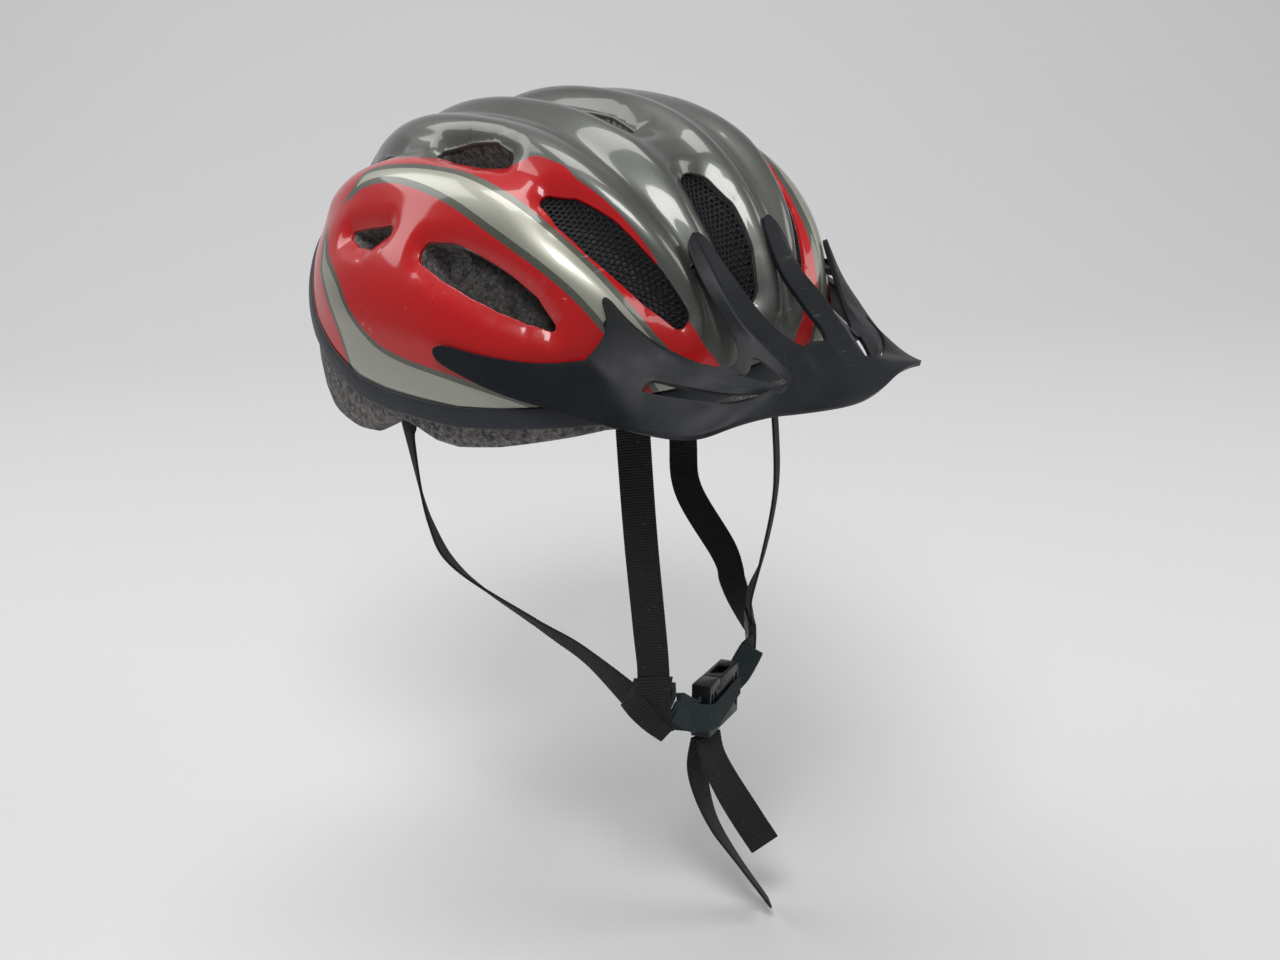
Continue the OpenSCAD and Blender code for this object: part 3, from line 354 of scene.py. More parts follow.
def chart_columns(fine, coarse):
    """Columns from side to side of the chart: fine ones over the vents, coarse ones beyond them."""
    half = np.concatenate([np.linspace(0, VENTS_REACH, fine + 1),
                           np.linspace(VENTS_REACH, CHART_SIDE, coarse + 1)[1:]])
    return np.concatenate([-half[:0:-1], half])


def chart_grid(columns, rows):
    """Chart places of a grid whose border is the shell's rim, as two arrays of columns by rows + 1."""
    u = np.asarray(columns, float)[:, None] / CHART_SIDE
    v = np.linspace(-1, 1, rows + 1)[None, :]
    t = (v + 1) / 2
    side = rim_place(90 - (90 - CORNER_AZIMUTH) * v)
    end = np.degrees(np.arcsin(np.clip(u * math.sin(math.radians(CORNER_AZIMUTH)), -1, 1)))
    front, rear = rim_place(end), rim_place(end, True)
    front_corner = rim_place(np.array(float(CORNER_AZIMUTH)))
    rear_corner = rim_place(np.array(180.0 - CORNER_AZIMUTH))
    p = u * side[0] + t * (front[0] - u * front_corner[0]) + (1 - t) * (rear[0] - u * rear_corner[0])
    q = side[1] + t * (front[1] - front_corner[1]) + (1 - t) * (rear[1] - rear_corner[1])
    return p, q


def border_of(columns_n, rows_n):
    """Numbers of the points round the border of a grid."""
    return np.concatenate([
        np.arange(columns_n - 1) * rows_n,
        (columns_n - 1) * rows_n + np.arange(rows_n - 1),
        np.arange(columns_n - 1, 0, -1) * rows_n + rows_n - 1,
        np.arange(rows_n - 1, 0, -1),
    ])


def snapped(p, q, distance):
    """Moves grid places beside an edge, where a distance is 0, onto it; returns places and distances."""
    d = distance(p, q)
    places = np.stack([p, q], -1)
    best = np.full(p.shape, 1e9)
    moved = places.copy()
    for step in ((1, 0), (0, 1)):
        a = tuple(slice(0, n - s) for n, s in zip(p.shape, step))
        b = tuple(slice(s, n) for n, s in zip(p.shape, step))
        crossing = (d[a] > 0) != (d[b] > 0)
        t = np.clip(d[a] / np.where(crossing, d[a] - d[b], 1), 0, 1)
        target = places[a] + (places[b] - places[a]) * t[..., None]
        for index, near, way in ((a, t < 0.5, t), (b, t >= 0.5, 1 - t)):
            take = crossing & near & (way < best[index])
            moved[index][take] = target[take]
            best[index][take] = way[take]
    d = np.where(best < 1e8, 0.0, d)
    return moved[..., 0], moved[..., 1], d


def kept_faces(d):
    """Faces of a grid outside the vents, cut along the points that lie on their edges."""
    columns_n, rows_n = d.shape
    flat = d.ravel()
    faces = []
    for i in range(columns_n - 1):
        for j in range(rows_n - 1):
            a = i * rows_n + j
            quad = (a, a + rows_n, a + rows_n + 1, a + 1)
            values = [flat[k] for k in quad]
            if max(values) <= 0:
                continue
            if min(values) >= 0:
                faces.append(quad)
                continue
            for k in range(4):
                if values[k] > 0 and values[(k + 2) % 4] <= 0:
                    faces.append((quad[k - 1], quad[k], quad[(k + 1) % 4]))
    return faces


def open_edges(faces):
    """Directed edges that only one face has."""
    seen = {}
    for face in faces:
        for a, b in zip(face, face[1:] + face[:1]):
            seen[(a, b)] = True
    return [(a, b) for (a, b) in seen if (b, a) not in seen]


def vent_slope(p, q):
    """Unit slope of the vent distance on the chart, away from the vent."""
    step = 0.05
    slope = np.stack([vent_distance(p + step, q) - vent_distance(p - step, q),
                      vent_distance(p, q + step) - vent_distance(p, q - step)], -1)
    return slope / np.maximum(np.linalg.norm(slope, axis=-1, keepdims=True), 1e-9)


def outline_distance(p, q, outline):
    """Signed distance on the chart to a closed outline, above 0 inside."""
    points = np.asarray(outline, float)
    best = np.full(np.shape(p), 1e9)
    inside = np.zeros(np.shape(p), bool)
    for a, b in zip(points, np.roll(points, -1, 0)):
        ab = b - a
        t = np.clip(((p - a[0]) * ab[0] + (q - a[1]) * ab[1]) / max(ab @ ab, 1e-9), 0, 1)
        best = np.minimum(best, np.hypot(p - a[0] - ab[0] * t, q - a[1] - ab[1] * t))
        crosses = (a[1] > q) != (b[1] > q)
        at = a[0] + (q - a[1]) / (ab[1] if ab[1] else 1e-9) * ab[0]
        inside ^= crosses & (p < at)
    return np.where(inside, best, -best)


def smoothed_line(points, parts=4):
    """More points on a smooth line through the given ones."""
    points = np.asarray(points, float)
    n = len(points) - 1
    out = []
    for i in range(n):
        a, b, c, d = points[max(i - 1, 0)], points[i], points[i + 1], points[min(i + 2, n)]
        for k in range(parts):
            t = k / parts
            bend = (2 * a - 5 * b + 4 * c - d) + t * (3 * b - a - 3 * c + d)
            out.append(b + t / 2 * ((c - a) + t * bend))
    return np.array(out + [points[n]])


# Faces, as rows of point numbers
def joining_faces(upper, lower):
    """Faces between two closed rows of as many points."""
    n = len(upper)
    return [(upper[i], lower[i], lower[(i + 1) % n], upper[(i + 1) % n]) for i in range(n)]


def ring_strips(rings, first, n):
    """Faces between closed rings of n points, numbered from first."""
    rows = [range(first + k * n, first + (k + 1) * n) for k in range(rings)]
    return [face for upper, lower in zip(rows, rows[1:]) for face in joining_faces(upper, lower)]


def turned_copy(faces, shift):
    """The same faces on points whose numbers are higher by a shift, turned over."""
    return [tuple(k + shift for k in face[::-1]) for face in faces]


def vent_edges(faces, border):
    """Open edges round the vents, and the sorted numbers of their points."""
    rim = set(border.tolist())
    edges = [e for e in open_edges(faces) if not (e[0] in rim and e[1] in rim)]
    return edges, sorted({k for edge in edges for k in edge})


def edge_strips(edges, names, rows):
    """Faces that carry open edges on through rows of point numbers, each in the order of names."""
    place = {k: i for i, k in enumerate(names)}
    return [(upper[place[b]], upper[place[a]], lower[place[a]], lower[place[b]])
            for a, b in edges for upper, lower in zip(rows, rows[1:])]


# Making objects
def new_object(name, points, faces, turned=False):
    """A mesh object at the origin, from points in millimetres; turned faces are turned over."""
    mesh = bpy.data.meshes.new(name)
    order = -1 if turned else 1
    faces = [tuple(int(k) for k in face)[::order] for face in faces]
    mesh.from_pydata((np.asarray(points, float) * MM).tolist(), [], faces)
    mesh.validate()
    mesh.shade_smooth()
    obj = bpy.data.objects.new(name, mesh)
    bpy.context.scene.collection.objects.link(obj)
    return obj


def add_attribute(obj, name, values):
    """A value for each point, which the paint's material reads."""
    layer = obj.data.attributes.new(name, "FLOAT", "POINT")
    layer.data.foreach_set("value", np.asarray(values, np.float32).ravel())


def add_uv(obj, pairs):
    """UV places given for each point, in millimetres along and across a piece."""
    layer = obj.data.uv_layers.new(name="UVMap")
    index = np.zeros(len(obj.data.loops), int)
    obj.data.loops.foreach_get("vertex_index", index)
    layer.data.foreach_set("uv", np.asarray(pairs, np.float32)[index].ravel())


@contextmanager
def editing(obj):
    """Opens an object's mesh for edits and writes it back."""
    b = bmesh.new()
    b.from_mesh(obj.data)
    yield b
    b.to_mesh(obj.data)
    b.free()


def face_outwards(obj):
    """Merges doubles and turns the faces of a closed mesh outwards."""
    with editing(obj) as b:
        bmesh.ops.remove_doubles(b, verts=b.verts, dist=1e-6)
        bmesh.ops.recalc_face_normals(b, faces=b.faces)


def drop_loose(b):
    """Removes points that no face uses."""
    bmesh.ops.delete(b, geom=[v for v in b.verts if not v.link_faces], context="VERTS")


def finished(obj, body, slot, material, *nodes):
    """Gives a piece its named material and its body, and hides the nodes that it stands for; its slot is not
    used.
    """
    obj.data.materials.clear()
    obj.data.materials.append(material_named(material))
    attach(obj, body)
    if nodes:
        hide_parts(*nodes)
    return obj


def baked(obj, name):
    """A plain mesh object from an object whose modifiers are applied."""
    depsgraph = bpy.context.evaluated_depsgraph_get()
    mesh = bpy.data.meshes.new_from_object(obj.evaluated_get(depsgraph))
    mesh.name = name
    result = bpy.data.objects.new(name, mesh)
    bpy.context.scene.collection.objects.link(result)
    old = obj.data
    bpy.data.objects.remove(obj)
    if old.users == 0:
        bpy.data.meshes.remove(old)
    return result


def round_edges(obj, width, segments, angle):
    """Rounds the edges that are sharper than an angle in degrees."""
    edge = obj.modifiers.new("Edges", "BEVEL")
    edge.width = width * MM
    edge.segments = segments
    edge.limit_method = "ANGLE"
    edge.angle_limit = math.radians(angle)
    return edge


# Materials
class Graph:
    """Adds nodes and links to a material or a node group."""

    def __init__(self, tree):
        self.tree = tree

    def add(self, kind, **settings):
        node = self.tree.nodes.new(kind)
        for name, value in settings.items():
            setattr(node, name, value)
        return node

    def join(self, source, target):
        self.tree.links.new(source, target)

    def feed(self, socket, value):
        """Links a socket, or sets the target's value."""
        if isinstance(value, bpy.types.NodeSocket):
            self.join(value, socket)
        else:
            socket.default_value = value

    def math(self, operation, a, b=0.0):
        node = self.add("ShaderNodeMath", operation=operation)
        self.feed(node.inputs[0], a)
        self.feed(node.inputs[1], b)
        return node.outputs[0]

    def blend(self, share, a, b):
        """A colour between a and b."""
        node = self.add("ShaderNodeMix", data_type="RGBA")
        self.feed(node.inputs[0], share)
        self.feed(node.inputs[6], a)
        self.feed(node.inputs[7], b)
        return node.outputs[2]

    def shades(self, share, color, low, high):
        """A colour between two shades of one colour, given as multiples of it."""
        return self.blend(share, shade_of(color, low), shade_of(color, high))

    def fit(self, value, low, high, to_low=0.0, to_high=1.0):
        """A value moved from one range to another, and held there."""
        node = self.add("ShaderNodeMapRange")
        self.feed(node.inputs[0], value)
        for i, limit in enumerate((low, high, to_low, to_high)):
            node.inputs[i + 1].default_value = limit
        return node.outputs[0]

    def noise(self, place, scale, detail=2.0, roughness=0.5):
        node = self.add("ShaderNodeTexNoise")
        self.join(place, node.inputs["Vector"])
        self.feed(node.inputs["Scale"], scale)
        node.inputs["Detail"].default_value = detail
        node.inputs["Roughness"].default_value = roughness
        return node.outputs["Fac"]

    def attribute(self, name):
        return self.add("ShaderNodeAttribute", attribute_name=name).outputs["Fac"]

    def object_place(self):
        return self.add("ShaderNodeTexCoord").outputs["Object"]

    def uv_place(self):
        return self.add("ShaderNodeTexCoord").outputs["UV"]

    def relief(self, height, distance, strength=1.0, normal=None):
        node = self.add("ShaderNodeBump")
        self.join(height, node.inputs["Height"])
        node.inputs["Distance"].default_value = distance
        node.inputs["Strength"].default_value = strength
        if normal is not None:
            self.join(normal, node.inputs["Normal"])
        return node.outputs[0]


def new_group(name, inputs, outputs, kind="ShaderNodeTree"):
    """A node group with named sockets; returns the tree, its graph and both ends."""
    tree = bpy.data.node_groups.new(name, kind)
    for label, socket_type, value in inputs:
        socket = tree.interface.new_socket(name=label, in_out="INPUT", socket_type=socket_type)
        if value is not None:
            socket.default_value = value
    for label, socket_type in outputs:
        tree.interface.new_socket(name=label, in_out="OUTPUT", socket_type=socket_type)
    graph = Graph(tree)
    return tree, graph, graph.add("NodeGroupInput"), graph.add("NodeGroupOutput")


def grain_group():
    """Fine moulded grain: a mask that varies over the surface, and a height."""
    tree, g, start, end = new_group(
        "Moulded Grain",
        [("Place", "NodeSocketVector", None), ("Scale", "NodeSocketFloat", 900.0)],
        [("Mask", "NodeSocketFloat"), ("Height", "NodeSocketFloat")])
    fine = g.noise(start.outputs["Place"], start.outputs["Scale"], 3.0, 0.6)
    broad = g.noise(start.outputs["Place"], g.math("MULTIPLY", start.outputs["Scale"], 0.06), 3.0, 0.55)
    g.join(broad, end.inputs["Mask"])
    g.join(fine, end.inputs["Height"])
    return tree


def wear_group():
    """Dust and small scuffs: few, pale and short."""
    tree, g, start, end = new_group(
        "Scuffs and Dust",
        [("Place", "NodeSocketVector", None), ("Amount", "NodeSocketFloat", 0.4)],
        [("Scuffs", "NodeSocketFloat"), ("Dust", "NodeSocketFloat")])
    turned = g.add("ShaderNodeMapping")
    g.join(start.outputs["Place"], turned.inputs["Vector"])
    turned.inputs["Rotation"].default_value = (0.5, 0.3, 0.9)
    turned.inputs["Scale"].default_value = (60, 420, 420)
    marks = g.noise(turned.outputs[0], 1.0, 2.0, 0.6)
    where = g.noise(start.outputs["Place"], 22.0, 2.0, 0.5)
    scuffs = g.math("MULTIPLY", g.fit(marks, 0.66, 0.72), g.fit(where, 0.56, 0.66))
    dust = g.fit(g.noise(start.outputs["Place"], 1900.0, 1.0), 0.7, 0.78)
    g.join(g.math("MULTIPLY", scuffs, start.outputs["Amount"]), end.inputs["Scuffs"])
    g.join(g.math("MULTIPLY", dust, start.outputs["Amount"]), end.inputs["Dust"])
    return tree


def weave_group():
    """Webbing: ribs across the strap and the twist of its yarns, from places in millimetres; its Shade output
    is painted light and shade of the ribs.
    """
    tree, g, start, end = new_group(
        "Ribbed Weave",
        [("Place", "NodeSocketVector", None), ("Rib Pitch", "NodeSocketFloat", 1.3),
         ("Yarn Pitch", "NodeSocketFloat", 0.8)],
        [("Height", "NodeSocketFloat"), ("Shade", "NodeSocketFloat")])
    split = g.add("ShaderNodeSeparateXYZ")
    g.join(start.outputs["Place"], split.inputs[0])
    along = g.math("DIVIDE", split.outputs[0], start.outputs["Rib Pitch"])
    across = g.math("DIVIDE", split.outputs[1], start.outputs["Yarn Pitch"])
    row = g.math("FLOOR", along)
    shifted = g.math("ADD", across, g.math("MULTIPLY", row, 0.5))
    rib = g.math("ABSOLUTE", g.math("SINE", g.math("MULTIPLY", along, math.pi)))
    yarn = g.math("ABSOLUTE", g.math("SINE", g.math("MULTIPLY", shifted, math.pi)))
    height = g.math("ADD", g.math("MULTIPLY", rib, 0.7), g.math("MULTIPLY", yarn, 0.3))
    g.join(height, end.inputs["Height"])
    fuzz = g.noise(start.outputs["Place"], 3.0, 3.0)
    # Shade is lighter on the tops of ribs and yarns and darker in the grooves between them, as painted
    # highlight and painted shade, with some random fuzz
    shade = g.math("ADD", g.math("MULTIPLY", height, 0.75), g.math("MULTIPLY", fuzz, 0.35))
    g.join(shade, end.inputs["Shade"])
    return tree


def new_material(name, roughness=0.5, **constants):
    """A material with its Principled shader; constants are set on the shader's own sockets."""
    material = bpy.data.materials.new(name)
    material.use_nodes = True
    g = Graph(material.node_tree)
    shader = material.node_tree.nodes["Principled BSDF"]
    shader.inputs["Roughness"].default_value = roughness
    for label, value in constants.items():
        shader.inputs[label.replace("_", " ")].default_value = value
    return material, g, shader


def use_group(g, name, **inputs):
    """A node that uses a group by its name."""
    node = g.add("ShaderNodeGroup", node_tree=bpy.data.node_groups[name])
    for label, value in inputs.items():
        g.feed(node.inputs[label.replace("_", " ")], value)
    return node


def shade_of(color, share=1.0):
    """A multiple of a colour, as red, green, blue and alpha."""
    return (*[min(c * share, 1.0) for c in color], 1.0)


def stripe_masks(g, name, width):
    """Masks of a stripe with its dark line, and of its silver inside that line."""
    distance = g.attribute(name)
    return g.fit(distance, -PAINT_BLUR, PAINT_BLUR), g.fit(distance, width - PAINT_BLUR, width + PAINT_BLUR)


def shell_paint(finish):
    """Glossy paint: a grey metallic crown, red sides and silver stripes with dark lines."""
    material, g, shader = new_material("Gloss Paint", 0.3, Specular_IOR_Level=0.2,
                                       Coat_Weight=0.75, Coat_Roughness=0.07)
    place = g.object_place()
    flake = g.noise(place, 2600.0, 1.0)
    cloud = g.noise(place, 14.0, 3.0)
    grey = g.fit(g.attribute("grey"), -PAINT_BLUR, PAINT_BLUR)
    stripe, stripe_core = stripe_masks(g, "stripe", STRIPE_LINE)
    sweep, sweep_core = stripe_masks(g, "sweep", SWOOSH_LINE)
    either = g.math("MAXIMUM", stripe, sweep)
    core = g.math("MAXIMUM", stripe_core, sweep_core)
    metal = g.math("MAXIMUM", grey, either)
    shade = g.fit(g.math("ADD", g.math("MULTIPLY", flake, 0.5), g.math("MULTIPLY", cloud, 0.5)), 0.35, 0.65)
    color = g.blend(grey, g.shades(shade, finish.red, 0.9, 1.0), g.shades(shade, finish.grey, 0.82, 1.12))
    color = g.blend(either, color, g.shades(shade, finish.edge_line, 0.85, 1.0))
    color = g.blend(core, color, g.shades(shade, finish.silver, 0.9, 1.05))
    worn = use_group(g, "Scuffs and Dust", Place=place, Amount=0.3)
    color = g.blend(worn.outputs["Scuffs"], color, SCUFF_COLOR)
    g.join(color, shader.inputs["Base Color"])
    g.join(g.math("MULTIPLY", metal, 0.72), shader.inputs["Metallic"])
    rough = g.math("ADD", g.math("MULTIPLY", metal, 0.12), g.fit(cloud, 0.3, 0.7, 0.29, 0.34))
    rough = g.math("ADD", rough, g.math("MULTIPLY", worn.outputs["Scuffs"], 0.3))
    g.join(rough, shader.inputs["Roughness"])
    g.join(g.relief(flake, 0.00002, 0.15), shader.inputs["Normal"])
    return material


def moulded_plastic(name, color, roughness, grain, scale, wear, shine=0.3):
    """Matte moulded plastic with fine grain and a little dust."""
    material, g, shader = new_material(name, roughness, Specular_IOR_Level=shine)
    place = g.object_place()
    skin = use_group(g, "Moulded Grain", Place=place, Scale=scale)
    worn = use_group(g, "Scuffs and Dust", Place=place, Amount=wear)
    shade = g.shades(skin.outputs["Mask"], color, 0.8, 1.25)
    marks = g.math("MAXIMUM", worn.outputs["Scuffs"], worn.outputs["Dust"])
    g.join(g.blend(marks, shade, DUST_COLOR), shader.inputs["Base Color"])
    rough = g.fit(skin.outputs["Mask"], 0.3, 0.7, roughness - 0.06, roughness + 0.06)
    g.join(rough, shader.inputs["Roughness"])
    g.join(g.relief(skin.outputs["Height"], grain), shader.inputs["Normal"])
    return material


def foam_material(name, tone):
    """Moulded bead foam: rounded beads with dark seams, speckled light and dark."""
    material, g, shader = new_material(name, 0.85, Specular_IOR_Level=0.3)
    place = g.object_place()
    seams = g.add("ShaderNodeTexVoronoi", feature="DISTANCE_TO_EDGE")
    beads = g.add("ShaderNodeTexVoronoi")
    for node in (seams, beads):
        g.join(place, node.inputs["Vector"])
        node.inputs["Scale"].default_value = 520.0
    speckle = g.noise(place, 1500.0, 3.0, 0.7)
    patch = g.noise(place, 60.0, 3.0)
    tint = g.add("ShaderNodeSeparateColor")
    g.join(beads.outputs["Color"], tint.inputs[0])
    level = g.math("ADD", g.math("MULTIPLY", speckle, 0.6), g.math("MULTIPLY", tint.outputs[0], 0.3))
    level = g.math("ADD", level, g.math("MULTIPLY", patch, 0.25))
    color = g.shades(g.fit(level, 0.4, 0.75), tone, 0.35, 1.9)
    gap = g.fit(seams.outputs["Distance"], 0.0, 0.1, 0.45, 1.0)
    g.join(g.blend(gap, shade_of(tone, 0.3), color), shader.inputs["Base Color"])
    rise = g.fit(seams.outputs["Distance"], 0.0, 0.3)
    g.join(g.relief(rise, 0.0003, 0.5, g.relief(speckle, 0.0001)), shader.inputs["Normal"])
    return material


def net_material(finish):
    """Dark plastic of the nets' strands."""
    material, g, shader = new_material("Net Plastic", 0.5, Specular_IOR_Level=0.2)
    skin = use_group(g, "Moulded Grain", Place=g.object_place(), Scale=1500.0)
    g.join(g.shades(skin.outputs["Mask"], finish.net, 0.7, 1.3), shader.inputs["Base Color"])
    g.join(g.relief(skin.outputs["Height"], 0.00005), shader.inputs["Normal"])
    return material


def webbing_material(name, color):
    """Nylon webbing with ribs across it, a soft sheen and a little lint; its colour is lighter on the rib
    tops and darker between them, as painted highlight and painted shade.
    """
    material, g, shader = new_material(name, 0.8, Specular_IOR_Level=0.2,
                                       Sheen_Weight=0.06, Sheen_Roughness=0.5)
    weave = use_group(g, "Ribbed Weave", Place=g.uv_place(), Rib_Pitch=1.3, Yarn_Pitch=0.75)
    lint = g.fit(g.noise(g.object_place(), 900.0, 2.0), 0.69, 0.74)
    # Painted highlight on the rib tops and painted shade in the grooves, taken from the weave's Shade
    body = g.shades(g.fit(weave.outputs["Shade"], 0.2, 0.95), color, 0.3, 2.0)
    g.join(g.blend(g.math("MULTIPLY", lint, 0.35), body, LINT_COLOR), shader.inputs["Base Color"])
    g.join(g.relief(weave.outputs["Height"], 0.00035, 0.8), shader.inputs["Normal"])
    return material


def pad_fabric(finish):
    """Brushed knit fabric over soft foam."""
    material, g, shader = new_material("Pad Fabric", 0.9, Sheen_Weight=0.4, Sheen_Roughness=0.4)
    place = g.object_place()
    loops = g.add("ShaderNodeTexVoronoi")
    g.join(place, loops.inputs["Vector"])
    loops.inputs["Scale"].default_value = 1300.0
    nap = g.noise(place, 420.0, 4.0, 0.65)
    g.join(g.shades(g.fit(nap, 0.3, 0.7), finish.pad, 0.6, 1.5), shader.inputs["Base Color"])
    brushed = g.relief(nap, 0.0003, 0.5)
    g.join(g.relief(loops.outputs["Distance"], 0.0002, 0.8, brushed), shader.inputs["Normal"])
    return material


def loop_tape(finish):
    """The fuzzy face of hook-and-loop tape."""
    material, g, shader = new_material("Loop Tape", 0.95)
    fuzz = g.noise(g.object_place(), 1700.0, 4.0, 0.7)
    g.join(g.shades(g.fit(fuzz, 0.35, 0.65), finish.tape, 0.5, 1.6), shader.inputs["Base Color"])
    g.join(g.relief(fuzz, 0.0004), shader.inputs["Normal"])
    return material


# Sizes and colours that a user would change
def color_setting(**about):
    return FloatVectorProperty(subtype="COLOR", size=3, min=0, max=1, **about)


def length_setting(**about):
    return FloatProperty(unit="LENGTH", **about)


class HelmetFinish(bpy.types.PropertyGroup):
    """Colours of the helmet's materials."""

    red: color_setting(name="Red", description="Red of the shell's sides", default=(0.47, 0.008, 0.010))
    grey: color_setting(name="Grey", description="Metallic grey of the crown", default=(0.125, 0.13, 0.118))
    silver: color_setting(name="Silver", description="Silver of the stripes", default=(0.41, 0.41, 0.345))
    edge_line: color_setting(name="Edge Line", description="Dark line along the stripes",
                             default=(0.135, 0.14, 0.115))
    foam: color_setting(name="Foam", description="Bead foam of the liner", default=(0.135, 0.128, 0.122))
    plastic: color_setting(name="Plastic", description="Matte plastic of the visor and band",
                           default=(0.0085, 0.0096, 0.012))
    net: color_setting(name="Net", description="Insect nets", default=(0.006, 0.0065, 0.009))
    webbing: color_setting(name="Webbing", description="Strap webbing", default=(0.011, 0.0105, 0.0115))
    chin_webbing: color_setting(name="Chin Webbing", description="Webbing of the chin strap",
                                default=(0.013, 0.021, 0.022))
    pad: color_setting(name="Pads", description="Fabric of the fit pads", default=(0.022, 0.022, 0.025))
    tape: color_setting(name="Tape", description="Hook-and-loop dots", default=(0.03, 0.03, 0.03))
    floor: color_setting(name="Floor", description="Floor and backdrop", default=(0.70, 0.70, 0.705))


class HelmetSizes(bpy.types.PropertyGroup):
    """Sizes of the helmet's details."""

    dip_depth: length_setting(name="Vent Dip", description="Depth to which the skin dips at a vent",
                              default=0.0026, min=0.0, max=0.005)
    lip_depth: length_setting(name="Vent Lip", description="Height of the skin's turned edge in a vent",
                              default=0.0016, min=0.0012, max=0.003)
    net_pitch: length_setting(name="Net Pitch", description="Distance between neighbouring holes of a net",
                              default=0.0029, min=0.002, max=0.006)
    net_strand: length_setting(name="Net Strand", description="Thickness of a net's strands",
                               default=0.00135, min=0.0004, max=0.002)
    rib_pitch: length_setting(name="Webbing Rib", description="Distance between the ribs of the webbing",
                              default=0.0013, min=0.001, max=0.003)
    stitch_length: length_setting(name="Stitch", description="Length of a stitch on a pad",
                                  default=0.0024, min=0.001, max=0.005)
    skin_columns: IntProperty(name="Skin Columns", description="Columns over the vents of each side",
                              default=120, min=40, max=130)
    skin_rows: IntProperty(name="Skin Rows", description="Rows of the shell's skin",
                           default=260, min=60, max=280)


class HelmetSettings(bpy.types.PropertyGroup):
    """Everything that the panel shows."""

    finish: PointerProperty(type=HelmetFinish, name="Finish", description="Colours of the materials")
    sizes: PointerProperty(type=HelmetSizes, name="Sizes", description="Sizes of the details")


def settings():
    return bpy.context.scene.bicycle_helmet


def material_named(name):
    material = bpy.data.materials.get(name)
    if material is None:
        raise RuntimeError(f"The material {name} is missing: run Helmet Materials first")
    return material


class HELMET_OT_materials(bpy.types.Operator):
    """Make the shader groups and the helmet's materials."""

    bl_idname = "helmet.materials"
    bl_label = "Helmet Materials"

    def execute(self, context):
        grain_group()
        wear_group()
        weave_group()
        finish = settings().finish
        shell_paint(finish)
        foam_material("Bead Foam", finish.foam)
        # The recess floors get the liner's foam at 0.3 of its colour: painted shade deep inside the side
        # vents
        foam_material("Deep Foam", [c * 0.3 for c in finish.foam])
        net_material(finish)
        pad_fabric(finish)
        loop_tape(finish)
        moulded_plastic("Band Plastic", [c * 2.2 for c in finish.plastic], 0.42, 0.00003, 700.0, 0.2)
        moulded_plastic("Visor Plastic", finish.plastic, 0.46, 0.00005, 1100.0, 0.35, 0.2)
        moulded_plastic("Fitting Plastic", [c * 0.8 for c in finish.plastic], 0.4, 0.00003, 900.0, 0.2)
        moulded_plastic("Buckle Plastic", [c * 0.75 for c in finish.plastic],
                        0.34, 0.00003, 800.0, 0.25, 0.22)
        webbing_material("Strap Webbing", finish.webbing)
        webbing_material("Chin Webbing", finish.chin_webbing)
        return {"FINISHED"}


# Shell, band and foam
class HELMET_OT_shell(bpy.types.Operator):
    """Build the outer shell's skin with its ribs, vents and turned vent edges."""

    bl_idname = "helmet.shell"
    bl_label = "Outer Shell"

    def execute(self, context):
        sizes = settings().sizes
        columns = chart_columns(sizes.skin_columns, 24)
        p, q, d = snapped(*chart_grid(columns, sizes.skin_rows), vent_distance)
        faces = kept_faces(d)
        p, q = p.ravel(), q.ravel()
        height = relief(p, q, sizes.dip_depth / MM)
        points = on_dome(p, q, height)
        loop = border_of(*d.shape)
        edges, names = vent_edges(faces, loop)
        # The turned edge, as rings of (shift into the vent in degrees, depth)
        lip = [(0.12, 0.12), (0.2, 0.5), (0.2, sizes.lip_depth / MM)]
        first, count = len(points), len(names)
        rows = [names] + [range(first + k * count, first + (k + 1) * count) for k in range(len(lip))]
        faces += edge_strips(edges, names, rows)
        way_p, way_q = vent_slope(p[names], q[names]).T
        rings = [on_dome(p[names] - way_p * shift, q[names] - way_q * shift, height[names] - depth)
                 for shift, depth in lip]
        first += len(lip) * count
        faces += joining_faces(loop, range(first, first + len(loop)))
        inner_rim = on_dome(p[loop], q[loop], height[loop] - SHELL_WALL)
        shell = new_object("outer_shell_skin", np.concatenate([points] + rings + [inner_rim]), faces, True)
        side, forward = (np.concatenate([c] + [c[names]] * len(lip) + [c[loop]]) for c in (abs(p), q))
        self.mark_paint(shell, side, forward)
        with editing(shell) as b:
            drop_loose(b)
        finished(shell, "helmet", "shell", "Gloss Paint", "outer_shell")
        return {"FINISHED"}

    def mark_paint(self, shell, side, q):
        """Stores how far each point lies inside the painted outlines."""
        rear = smoothed_line(SWOOSH_REAR)[::-1]
        outlines = {"grey": [*smoothed_line(GREY_EDGE), *GREY_BEYOND],
                    "stripe": [*smoothed_line(STRIPE_UPPER), *smoothed_line(STRIPE_LOWER)[::-1]],
                    "sweep": [*smoothed_line(SWOOSH_UPPER), *SWOOSH_BEYOND, *rear]}
        for name, outline in outlines.items():
            add_attribute(shell, name, outline_distance(side, q, outline))


def below_rim(p, q, drop, offset):
    """Points below the shell's rim, further round the dome by some degrees."""
    share = 1 + drop / np.hypot(p, q)
    return on_dome(p * share, q * share, offset)


